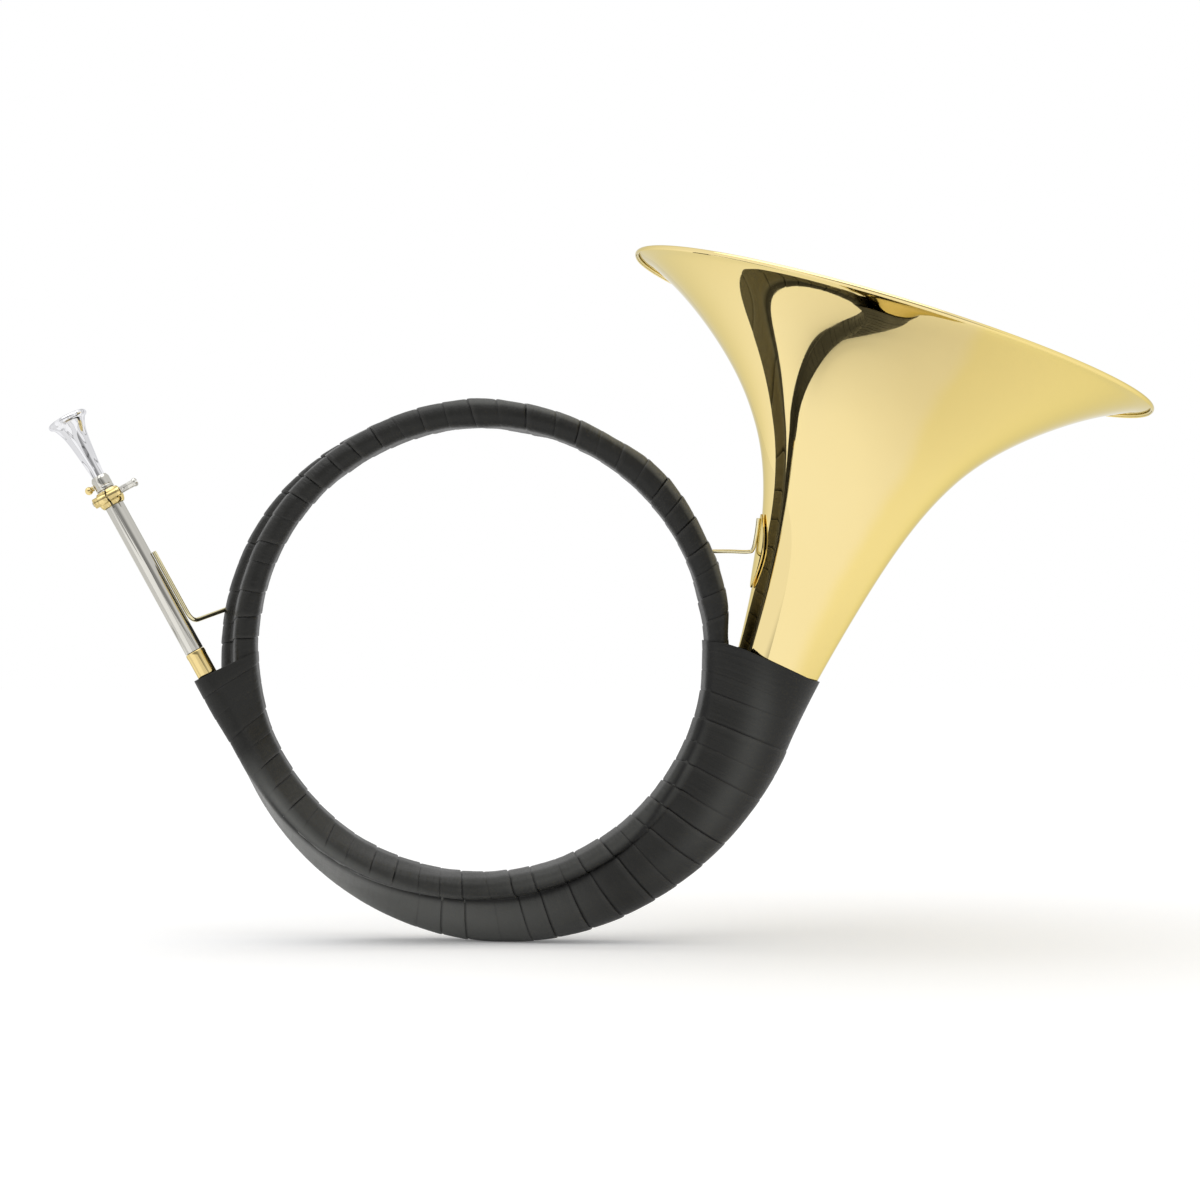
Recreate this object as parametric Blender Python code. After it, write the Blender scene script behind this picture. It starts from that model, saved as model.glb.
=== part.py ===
"""A leather-wound hunting horn in B flat: three and a half turns of brass tube, a wide bell and a sliding leadpipe.

The coil lies in the XZ plane, with its centre at the origin, and is seen from -Y. Angles are in degrees,
counter-clockwise from +X as seen from the front. Lengths are in metres, written in millimetres times MM.
"""
import math

import bmesh
import bpy
import numpy as np
from mathutils import Vector

MM = 0.001

# Coil of brass tube
COIL_R = 117.6 * MM
TUBE_R = 4.0 * MM
TUBE_WALL = 0.6 * MM
TURN_PITCH = 9.4 * MM
FERRULE_CLEAR = 0.3 * MM
FERRULE_WALL = 0.35 * MM
FERRULE_R = TUBE_R + FERRULE_CLEAR + FERRULE_WALL
FERRULE_LENGTH = 16 * MM
JOINT_GAP = 0.3 * MM

# Leadpipe: a straight line that touches a circle of LEAD_R round the coil's centre at LEAD_ANGLE
LEAD_R = 124.4 * MM
LEAD_ANGLE = 208.8
LEAD_DEPTH = -14.0 * MM
SEGMENT = 11.25
JOINTS = tuple(LEAD_ANGLE + count * SEGMENT for count in (21.5, 56.5, 84.5))
SLEEVE_R = 4.75 * MM
SLEEVE_BORE_R = 4.2 * MM
SLEEVE_FROM = 68.2 * MM
SLEEVE_TO = 157.3 * MM
LEAD_FERRULE_R = 5.0 * MM
LEAD_FERRULE_FROM = 44 * MM
INNER_R = 3.95 * MM
INNER_BORE_R = 3.45 * MM
INNER_LENGTH = 62 * MM
RECEIVER_R = 4.65 * MM
RECEIVER_FROM = 159.4 * MM
RECEIVER_LENGTH = 7.4 * MM
SLIT = 0.9 * MM

# Clamp on the sleeve's split end
CLAMP_FROM = 150.6 * MM
CLAMP_LENGTH = 8.2 * MM
CLAMP_BORE_R = 5.0 * MM
CLAMP_R = 6.6 * MM
BOSS_R = 2.5 * MM
BOSS_LEFT = -7.6 * MM
BOSS_RIGHT = 6.9 * MM
BOSS_DEPTH = -6.9 * MM
SCREW_T = 154.9 * MM
SCREW_R = 1.1 * MM
SCREW_HOLE_R = 1.5 * MM
SCREW_HEAD_R = 1.75 * MM
SCREW_HEAD_LENGTH = 9.4 * MM

# Bell: the rim's centre, the lean of its axis from upright, and the flare as (distance from rim, radius)
RIM_CENTRE = Vector((205.2 * MM, 0, 158.9 * MM))
RIM_LEAN = 17.4
RIM_R = 133.3 * MM
BELL_WALL = 0.6 * MM
RIM_WIRE_R = 0.55 * MM
CURL_R = 0.85 * MM
CURL_WALL = 0.45 * MM
FLARE = (
    (0.0, 132.2),
    (3.0, 125.5),
    (10.0, 112.5),
    (22.5, 93.5),
    (35.0, 76.5),
    (50.0, 62.0),
    (68.0, 49.8),
    (85.0, 41.4),
    (103.0, 35.4),
    (125.0, 30.0),
    (150.0, 25.3),
    (175.0, 21.6),
    (206.0, 18.6),
)
FLARE_LAW = np.polyfit([distance for distance, _ in FLARE], np.log([radius for _, radius in FLARE]), 5)
BELL_STRAIGHT = 60 * MM
BELL_END_ANGLE = LEAD_ANGLE + 108 * SEGMENT

# Bell branch as (wound angle, radius from the coil's centre, depth, tube radius), in degrees and millimetres
BRANCH = (
    (1176, 117.6, 9.4, 4.0),
    (1197, 118.6, 11.0, 4.9),
    (1230, 122.4, 13.2, 6.0),
    (1260, 124.0, 14.0, 6.8),
    (1290, 125.6, 14.0, 7.8),
    (1320, 129.4, 14.4, 9.3),
    (1335, 131.6, 13.2, 10.3),
    (1350, 133.4, 9.0, 11.4),
    (1365, 134.6, 4.0, 12.8),
    (1380, 135.3, 0.6, 14.2),
    (1410, 138.4, 0.0, 17.4),
    (1425, 141.0, 0.0, 19.1),
)

# Leather: its thickness, the rise where one strip laps over the next, and its clearance from the tubes
LEATHER = 0.6 * MM
LAP = 0.35 * MM
LEATHER_CLEAR = 0.6 * MM
STRIP_ANGLE = 6.4
CAP_LEFT = 184.2
CAP_RIGHT = 362.4
TUCK = 6.0

# Braces
BRACE_WIRE_R = 1.1 * MM
BELL_WIRE_R = 0.95 * MM
FOOT_FROM = 106.5 * MM
FOOT_TO = 143.0 * MM
FOOT_HALF_ANGLE = 15.0
FOOT_TURN = 10.0
FOOT_THICK = 0.8 * MM

# Mouthpiece, as (distance from the rim's face, radius)
MOUTHPIECE_TOP = 200.2 * MM
MOUTHPIECE_OUTSIDE = (
    (0.0, 8.6),
    (0.5, 9.7),
    (1.6, 10.2),
    (2.8, 9.6),
    (3.4, 8.6),
    (6.0, 7.2),
    (10.0, 5.9),
    (16.0, 4.9),
    (23.0, 4.1),
    (28.0, 3.6),
    (33.0, 3.2),
    (54.0, 2.9),
)
MOUTHPIECE_INSIDE = (
    (54.0, 2.2),
    (24.0, 1.7),
    (18.0, 2.4),
    (8.0, 5.2),
    (1.6, 7.1),
    (0.4, 7.7),
)
BALL_R = 2.0 * MM

MATERIALS = {
    "brass": ((0.83, 0.67, 0.33, 1), 0.18, 1.0),
    "yellow_brass": ((0.80, 0.60, 0.20, 1), 0.22, 1.0),
    "nickel_silver": ((0.62, 0.60, 0.53, 1), 0.24, 1.0),
    "silver_plate": ((0.88, 0.88, 0.87, 1), 0.14, 1.0),
    "black_leather": ((0.035, 0.034, 0.033, 1), 0.55, 0.0),
}


def material(name):
    """The named finish, made the first time it is asked for."""
    if name in bpy.data.materials:
        return bpy.data.materials[name]
    colour, roughness, metallic = MATERIALS[name]
    made = bpy.data.materials.new(name)
    made.use_nodes = True
    made.diffuse_color = colour
    shader = made.node_tree.nodes["Principled BSDF"]
    shader.inputs["Base Color"].default_value = colour
    shader.inputs["Roughness"].default_value = roughness
    shader.inputs["Metallic"].default_value = metallic
    return made


def keep(bm, name, finish, parent=None, sharp=35):
    """Makes an object of a bmesh, shaded smooth but for its sharp edges."""
    bmesh.ops.recalc_face_normals(bm, faces=bm.faces)
    mesh = bpy.data.meshes.new(name)
    bm.to_mesh(mesh)
    bm.free()
    mesh.materials.append(material(finish))
    mesh.shade_smooth()
    mesh.set_sharp_from_angle(angle=math.radians(sharp))
    piece = bpy.data.objects.new(name, mesh)
    bpy.context.collection.objects.link(piece)
    piece.parent = parent
    return piece


def polar(radius, degrees, depth):
    """A point at this radius and angle about the coil's centre."""
    turn = math.radians(degrees)
    return Vector((radius * math.cos(turn), depth, radius * math.sin(turn)))


def smooth_step(x, start, end):
    """0 before start, 1 after end, eased between them."""
    share = min(max((x - start) / (end - start), 0), 1)
    return share * share * (3 - 2 * share)


def along(stations, x):
    """The values at x on a smooth curve through the stations, whose first column is x."""
    table = np.array(stations, dtype=float)
    xs = table[:, 0]
    slopes = np.gradient(table[:, 1:], xs, axis=0)
    i = int(np.clip(np.searchsorted(xs, x) - 1, 0, len(xs) - 2))
    step = xs[i + 1] - xs[i]
    u = min(max((x - xs[i]) / step, 0), 1)
    low, high = table[i, 1:], table[i + 1, 1:]
    blend = (
        (2 * u**3 - 3 * u**2 + 1) * low
        + (u**3 - 2 * u**2 + u) * step * slopes[i]
        + (3 * u**2 - 2 * u**3) * high
        + (u**3 - u**2) * step * slopes[i + 1]
    )
    return blend.tolist()


def wound(angle):
    """The centre and radius of the tube at an angle wound up from the leadpipe through every turn."""
    if angle >= BRANCH[0][0]:
        radius, depth, tube = along(BRANCH, angle)
        return polar(radius * MM, angle, depth * MM), tube * MM
    slot = -1 + smooth_step(angle, 510, 660) + smooth_step(angle, 870, 1020)
    lead = 1 - smooth_step(angle, LEAD_ANGLE, LEAD_ANGLE + 70)
    beside_bell = smooth_step(angle, 600, 650) * (1 - smooth_step(angle, 725, 750))
    behind_bell = smooth_step(angle, 950, 980) * (1 - smooth_step(angle, 1015, 1060))
    radius = COIL_R + lead * (LEAD_R - COIL_R) - beside_bell * 1.5 * MM - behind_bell * 0.8 * MM
    depth = slot * TURN_PITCH + lead * (LEAD_DEPTH + TURN_PITCH)
    return polar(radius, angle, depth), TUBE_R


def bent(angle):
    """The same as wound, but on the straight lengths between the tube's stations."""
    stage, share = divmod((angle - LEAD_ANGLE) / SEGMENT, 1)
    low, low_r = wound(LEAD_ANGLE + stage * SEGMENT)
    high, high_r = wound(LEAD_ANGLE + (stage + 1) * SEGMENT)
    return low.lerp(high, share), low_r + (high_r - low_r) * share


def stages(start, end):
    """The angles of the tube's stations between two angles."""
    count = math.ceil((start - LEAD_ANGLE) / SEGMENT + 0.05)
    found = []
    while LEAD_ANGLE + count * SEGMENT < end - 0.05 * SEGMENT:
        found.append(LEAD_ANGLE + count * SEGMENT)
        count += 1
    return found


def lead_point(distance):
    """A point on the leadpipe's axis, at a distance up it from where it touches its circle."""
    foot = polar(LEAD_R, LEAD_ANGLE, LEAD_DEPTH)
    turn = math.radians(LEAD_ANGLE)
    return foot + distance * Vector((math.sin(turn), 0, -math.cos(turn)))


BELL_AXIS = Vector((math.sin(math.radians(RIM_LEAN)), 0, math.cos(math.radians(RIM_LEAN))))
BELL_LEFT = Vector((-BELL_AXIS.z, 0, BELL_AXIS.x))


def branch_heading():
    """The direction in which the branch runs into the bell."""
    return (wound(BELL_END_ANGLE)[0] - wound(BELL_END_ANGLE - 2)[0]).normalized()


def bell_line():
    """Points down the bell's centre line from the rim to where it joins the branch, with their distances."""
    straight = RIM_CENTRE - BELL_AXIS * BELL_STRAIGHT
    end, _ = wound(BELL_END_ANGLE)
    heading = branch_heading()
    reach = (straight - end).length * 0.36
    points = [RIM_CENTRE.copy()]
    for i in range(41):
        u = i / 40
        points.append(
            (1 - u) ** 3 * straight
            + 3 * u * (1 - u) ** 2 * (straight - BELL_AXIS * reach)
            + 3 * u**2 * (1 - u) * (end + heading * reach)
            + u**3 * end
        )
    distances = [0.0]
    for a, b in zip(points, points[1:]):
        distances.append(distances[-1] + (b - a).length)
    return points, distances


BELL_POINTS, BELL_DISTANCES = bell_line()


def bell_centre(distance):
    """The point and the direction towards the rim, this far down the bell's centre line."""
    table = np.array([tuple(p) for p in BELL_POINTS])
    at = [float(np.interp(distance, BELL_DISTANCES, table[:, k])) for k in range(3)]
    near = [float(np.interp(max(distance - 2 * MM, 0), BELL_DISTANCES, table[:, k])) for k in range(3)]
    far = [float(np.interp(distance + 2 * MM, BELL_DISTANCES, table[:, k])) for k in range(3)]
    return Vector(at), (Vector(near) - Vector(far)).normalized()


def bell_radius(distance):
    """The bell's outside radius at a distance from the rim, from a smooth law through the measured flare."""
    return float(np.exp(np.polyval(FLARE_LAW, distance / MM))) * MM


def circle(centre, heading, radius, sides):
    """The corners of a ring round a centre, square to its heading, which lies near the XZ plane."""
    side = heading.cross(Vector((0, 1, 0))).normalized()
    up = side.cross(heading).normalized()
    turns = [2 * math.pi * (i + 0.5) / sides for i in range(sides)]
    return [centre + radius * (math.cos(a) * side + math.sin(a) * up) for a in turns]


def skin(bm, rings, closed_round=False):
    """Faces between neighbouring rings of corners, and back to the first ring if the form closes on itself."""
    rows = [[bm.verts.new(corner) for corner in ring] for ring in rings]
    last = len(rows) if closed_round else len(rows) - 1
    for i in range(last):
        row, following = rows[i], rows[(i + 1) % len(rows)]
        for k in range(len(row)):
            beyond = (k + 1) % len(row)
            bm.faces.new((row[k], row[beyond], following[beyond], following[k]))


def tangents(centres):
    """The direction of a line of centres at each of them."""
    inner = [(after - before).normalized() for before, after in zip(centres, centres[2:])]
    return [(centres[1] - centres[0]).normalized(), *inner, (centres[-1] - centres[-2]).normalized()]


def hollow(name, centres, radii, wall, sides, end_heading=None):
    """An open-ended brass tube along its centres, with a bore."""
    bm = bmesh.new()
    headings = tangents(centres)
    if end_heading:
        headings[-1] = end_heading
    outside = [circle(c, h, r, sides) for c, h, r in zip(centres, headings, radii)]
    inside = [circle(c, h, r - wall, sides) for c, h, r in zip(centres, headings, radii)]
    skin(bm, outside + inside[::-1], closed_round=True)
    return keep(bm, name, "brass")


def turned(name, profile, finish, steps=24, parent=None, location=(0, 0, 0), closed=True):
    """A body turned about its own Z from a profile of (height, radius) corners."""
    bm = bmesh.new()
    corners = [bm.verts.new((radius, 0, height)) for height, radius in profile]
    pairs = list(zip(corners, corners[1:]))
    if closed:
        pairs.append((corners[-1], corners[0]))
    edges = [bm.edges.new(pair) for pair in pairs]
    bmesh.ops.spin(
        bm,
        geom=corners + edges,
        cent=(0, 0, 0),
        axis=(0, 0, 1),
        angle=2 * math.pi,
        steps=steps,
        use_merge=True,
    )
    bmesh.ops.remove_doubles(bm, verts=bm.verts, dist=0.01 * MM)
    piece = keep(bm, name, finish, parent)
    piece.location = location
    return piece


def wire(name, points, radius, finish):
    """A round wire bent smoothly through its points."""
    table = [(i, *p) for i, p in enumerate(points)]
    curve = bpy.data.curves.new(name, "CURVE")
    curve.dimensions = "3D"
    curve.bevel_depth = radius
    curve.bevel_resolution = 1
    curve.use_fill_caps = True
    spline = curve.splines.new("POLY")
    stops = np.linspace(0, len(points) - 1, 4 * (len(points) - 1) + 1)
    spline.points.add(len(stops) - 1)
    for target, stop in zip(spline.points, stops):
        target.co = (*along(table, stop), 1)
    curve.materials.append(material(finish))
    piece = bpy.data.objects.new(name, curve)
    bpy.context.collection.objects.link(piece)
    return piece


def cut(piece, cutter):
    """Takes the cutter's shape out of a piece."""
    change = piece.modifiers.new("cut", "BOOLEAN")
    change.operation = "DIFFERENCE"
    change.solver = "EXACT"
    change.object = cutter
    cutter.hide_render = True
    cutter.display_type = "WIRE"


def block(name, low, high, parent):
    """A plain box between two corners, used as a cutter."""
    bm = bmesh.new()
    bmesh.ops.create_cube(bm, size=1)
    size = Vector(high) - Vector(low)
    for corner in bm.verts:
        corner.co = Vector(low) + Vector((corner.co[k] + 0.5) * size[k] for k in range(3))
    return keep(bm, name, "brass", parent)


def rod(name, start, end, radius, steps, finish, parent):
    """A solid cylinder along its parent's X, at a depth and height."""
    bm = bmesh.new()
    bmesh.ops.create_cone(
        bm, cap_ends=True, segments=steps, radius1=radius, radius2=radius, depth=end[0] - start[0]
    )
    piece = keep(bm, name, finish, parent)
    piece.location = (Vector(start) + Vector(end)) / 2
    piece.rotation_euler = (0, math.radians(90), 0)
    return piece


def build_turns():
    """The wound tube, in four lengths butted inside ferrules."""
    gap = math.degrees(JOINT_GAP / 2 / COIL_R)
    ends = (LEAD_ANGLE, *JOINTS, BELL_END_ANGLE)
    for name, start, end in zip(("first_turn", "second_turn", "third_turn", "bell_branch"), ends, ends[1:]):
        first = start if name == "first_turn" else start + gap
        last = end - gap
        angles = [first, *stages(first, last), last]
        stations = [bent(angle) for angle in angles]
        if name == "first_turn":
            stations = [(lead_point(d), TUBE_R) for d in (SLEEVE_FROM - 1 * MM, 45 * MM, 22 * MM)] + stations
        centres = [centre for centre, _ in stations]
        radii = [radius for _, radius in stations]
        if name == "bell_branch":
            hollow(name, centres, radii, TUBE_WALL, 14, branch_heading())
        else:
            hollow(name, centres, radii, TUBE_WALL, 7)
    for name, angle in zip(("first_ferrule", "second_ferrule", "third_ferrule"), JOINTS):
        centre, _ = bent(angle)
        along_tube = (bent(angle + 1)[0] - centre).normalized() * FERRULE_LENGTH / 2
        hollow(name, [centre - along_tube, centre, centre + along_tube], [FERRULE_R] * 3, FERRULE_WALL, 12)


def build_bell():
    """The bell from its rolled rim to the joint with the branch, and the wire in the rim."""
    low = BELL_DISTANCES[-1] - JOINT_GAP
    stations = [d * MM for d in (0.2, 3, 6, 10, 16, 22.5, 29, 35, 42, 50, 59, 68, 85, 103, 125, 150, 172, 188)]
    stations.append(low)
    sides = 34
    outside = []
    inside = []
    for distance in stations:
        centre, heading = bell_centre(distance)
        radius = bell_radius(distance)
        slope = (bell_radius(distance) - bell_radius(distance + 1 * MM)) / (1 * MM)
        lift = BELL_WALL * math.sqrt(1 + slope * slope)
        outside.append(circle(centre, heading, radius, sides))
        inside.append(circle(centre, heading, radius - min(lift, 2.2 * MM), sides))
    outer_curl = []
    inner_curl = []
    for degrees in (20, 75, 130, 185, 240):
        turn = math.radians(degrees)
        for rings, reach in ((outer_curl, CURL_R + CURL_WALL), (inner_curl, CURL_R)):
            centre = RIM_CENTRE - BELL_AXIS * (CURL_R + reach * math.cos(turn))
            rings.append(circle(centre, BELL_AXIS, RIM_R + reach * math.sin(turn), sides))
    bm = bmesh.new()
    skin(bm, outside[::-1] + inner_curl[::-1] + outer_curl + inside, closed_round=True)
    keep(bm, "bell", "brass")
    bm = bmesh.new()
    rings = []
    for i in range(5):
        turn = 2 * math.pi * i / 5
        centre = RIM_CENTRE - BELL_AXIS * (CURL_R + RIM_WIRE_R * math.cos(turn))
        rings.append(circle(centre, BELL_AXIS, RIM_R + RIM_WIRE_R * math.sin(turn), sides))
    skin(bm, rings, closed_round=True)
    keep(bm, "rim_wire", "brass")


def exits(rounds, origin, rays):
    """How far each ray runs from the origin until it leaves a tight loop round circles, or 0 where it misses."""
    rounds = np.array(rounds)
    turns = np.radians(np.arange(0, 360, 5))
    normals = np.stack([np.cos(turns), np.sin(turns)], axis=1)
    reach = (normals @ rounds[:, :2].T + rounds[:, 2]).max(axis=1) - normals @ origin
    facing = normals @ rays.T
    facing[np.abs(facing) < 1e-6] = 1e-6
    crossing = reach[:, None] / facing
    far = np.where(facing > 0, crossing, np.inf).min(axis=0)
    near = np.where(facing < 0, crossing, -np.inf).max(axis=0)
    return np.where(far > np.maximum(near, 0), far, 0)


def tubes_at(angle, lean, with_lead):
    """The tubes cut by the section at an angle of the ring, as (outward, depth, radius) from COIL_R."""
    corner = polar(COIL_R, angle, 0)
    out = polar(1, angle + lean, 0)
    across = polar(1, angle + lean + 90, 0)
    found = []
    for turn in range(4):
        at = angle + 360 * turn
        if at < LEAD_ANGLE or at > BELL_END_ANGLE + 20:
            continue
        for _ in range(4):
            centre, radius = bent(min(at, BELL_END_ANGLE - 0.01))
            at -= math.degrees((centre - corner).dot(across) / COIL_R)
        if at > BELL_END_ANGLE - 1:
            centre, radius = bell_crossing(corner, across)
        if min(abs(at - joint) for joint in JOINTS) < SEGMENT / 2 + 0.1:
            radius = FERRULE_R
        found.append(((centre - corner).dot(out), centre.y, radius))
    if with_lead and angle < LEAD_ANGLE + 1:
        start = lead_point(0) - corner
        run = lead_point(1 * MM) - lead_point(0)
        distance = -start.dot(across) / run.dot(across) * MM
        if 0 <= distance < SLEEVE_FROM:
            centre = lead_point(distance)
            found.append(((centre - corner).dot(out), centre.y, LEAD_FERRULE_R))
    return found


def bell_crossing(corner, across):
    """Where the bell's centre line crosses a section's plane, with its radius there."""
    low, high = 100 * MM, BELL_DISTANCES[-1]
    for _ in range(30):
        middle = (low + high) / 2
        if (bell_centre(middle)[0] - corner).dot(across) > 0:
            low = middle
        else:
            high = middle
    return bell_centre(low)[0], bell_radius(low)


def section(angle, lean, fill, extra, count, with_lead):
    """The leather's outline at an angle of the ring: round the tubes, sunk between them where fill is low."""
    grown = [(x, y, r * 1.012 + extra) for x, y, r in tubes_at(angle, lean, with_lead)]
    big = max(grown, key=lambda tube: tube[2])
    small = [tube for tube in grown if tube is not big]
    middle = np.mean([(x, y) for x, y, _ in small], axis=0)
    origin = (middle + np.array(big[:2])) / 2
    turns = np.radians(np.arange(0, 360, 3.75))
    rays = np.stack([np.cos(turns), np.sin(turns)], axis=1)
    tight = exits(grown, origin, rays)
    sunk = np.maximum(exits(small, origin, rays), exits([big], origin, rays))
    loop = origin + rays * (sunk + fill * (tight - sunk))[:, None]

    # Corners fall closer together where the loop bends
    sides = np.roll(loop, -1, axis=0) - loop
    lengths = np.linalg.norm(sides, axis=1)
    before = np.roll(sides, 1, axis=0)
    bends = np.abs(np.arctan2(before[:, 0] * sides[:, 1] - before[:, 1] * sides[:, 0], (before * sides).sum(axis=1)))
    bends = (bends + np.roll(bends, -1)) / 2
    run = np.concatenate([[0], np.cumsum(lengths + 5 * MM * bends)])
    stops = (np.arange(count) + 0.5) / count * run[-1]
    closed = np.vstack([loop, loop[:1]])
    corner = polar(COIL_R, angle, 0)
    out = polar(1, angle + lean, 0)
    spots = [(float(np.interp(stop, run, closed[:, 0])), float(np.interp(stop, run, closed[:, 1]))) for stop in stops]
    return [corner + out * x + Vector((0, y, 0)) for x, y in spots]


def build_wrap(name, start, end, count, lean_at, fill_at, extra_at):
    """A leather sleeve of lapped strips between two angles of the ring."""

    def outline(angle, thickness):
        extra = LEATHER_CLEAR + extra_at(angle) + thickness
        return section(angle, lean_at(angle), fill_at(angle), extra, count, name == "lower_leather")

    strips = round((end - start) / STRIP_ANGLE)
    width = (end - start) / strips
    edge = math.degrees(0.4 * MM / COIL_R)
    outside = []
    for i in range(strips):
        low = start + i * width
        outside.append(outline(low, LEATHER))
        outside.append(outline(low + width - edge, LEATHER + LAP))
    last = end - edge
    inner_angles = [start, last]
    for angle in stages(start, last):
        inner_angles.append(angle)
        if abs(lean_at(angle)) > 1:
            inner_angles.append(angle - SEGMENT / 2)
    inside = [outline(angle, 0) for angle in sorted(inner_angles) if start <= angle <= last]
    bm = bmesh.new()
    skin(bm, outside + inside[::-1], closed_round=True)
    return keep(bm, name, "black_leather", sharp=60)


def build_leather():
    """The upper wrap over the top of the coil, and the lower wrap that also takes in leadpipe and bell."""

    def lower_lean(angle):
        return -RIM_LEAN * smooth_step(angle, 318, CAP_RIGHT) + 8 * (1 - smooth_step(angle, CAP_LEFT, 212))

    def lower_fill(angle):
        return 1 - 0.6 * smooth_step(angle, 212, 240) + 0.6 * smooth_step(angle, 285, 345)

    def lower_extra(angle):
        near_left = 1 - smooth_step(angle, CAP_LEFT + TUCK, CAP_LEFT + TUCK + 9)
        near_right = smooth_step(angle, CAP_RIGHT - TUCK - 9, CAP_RIGHT - TUCK)
        over_upper = LEATHER + LAP + LEATHER_CLEAR + 0.3 * MM
        return 0.2 * MM + max(over_upper * near_right, (over_upper + 0.5 * MM) * near_left)

    def plain(angle):
        return 0

    def upper_extra(angle):
        return 0.5 * MM * smooth_step(angle, 130, 165)

    def upper_fill(angle):
        return 1 - 0.4 * smooth_step(angle, 110, 140)

    build_wrap("lower_leather", CAP_LEFT, CAP_RIGHT, 30, lower_lean, lower_fill, lower_extra)
    build_wrap("upper_leather", CAP_RIGHT - 360 - TUCK, CAP_LEFT + TUCK, 22, plain, upper_fill, upper_extra)


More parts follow.
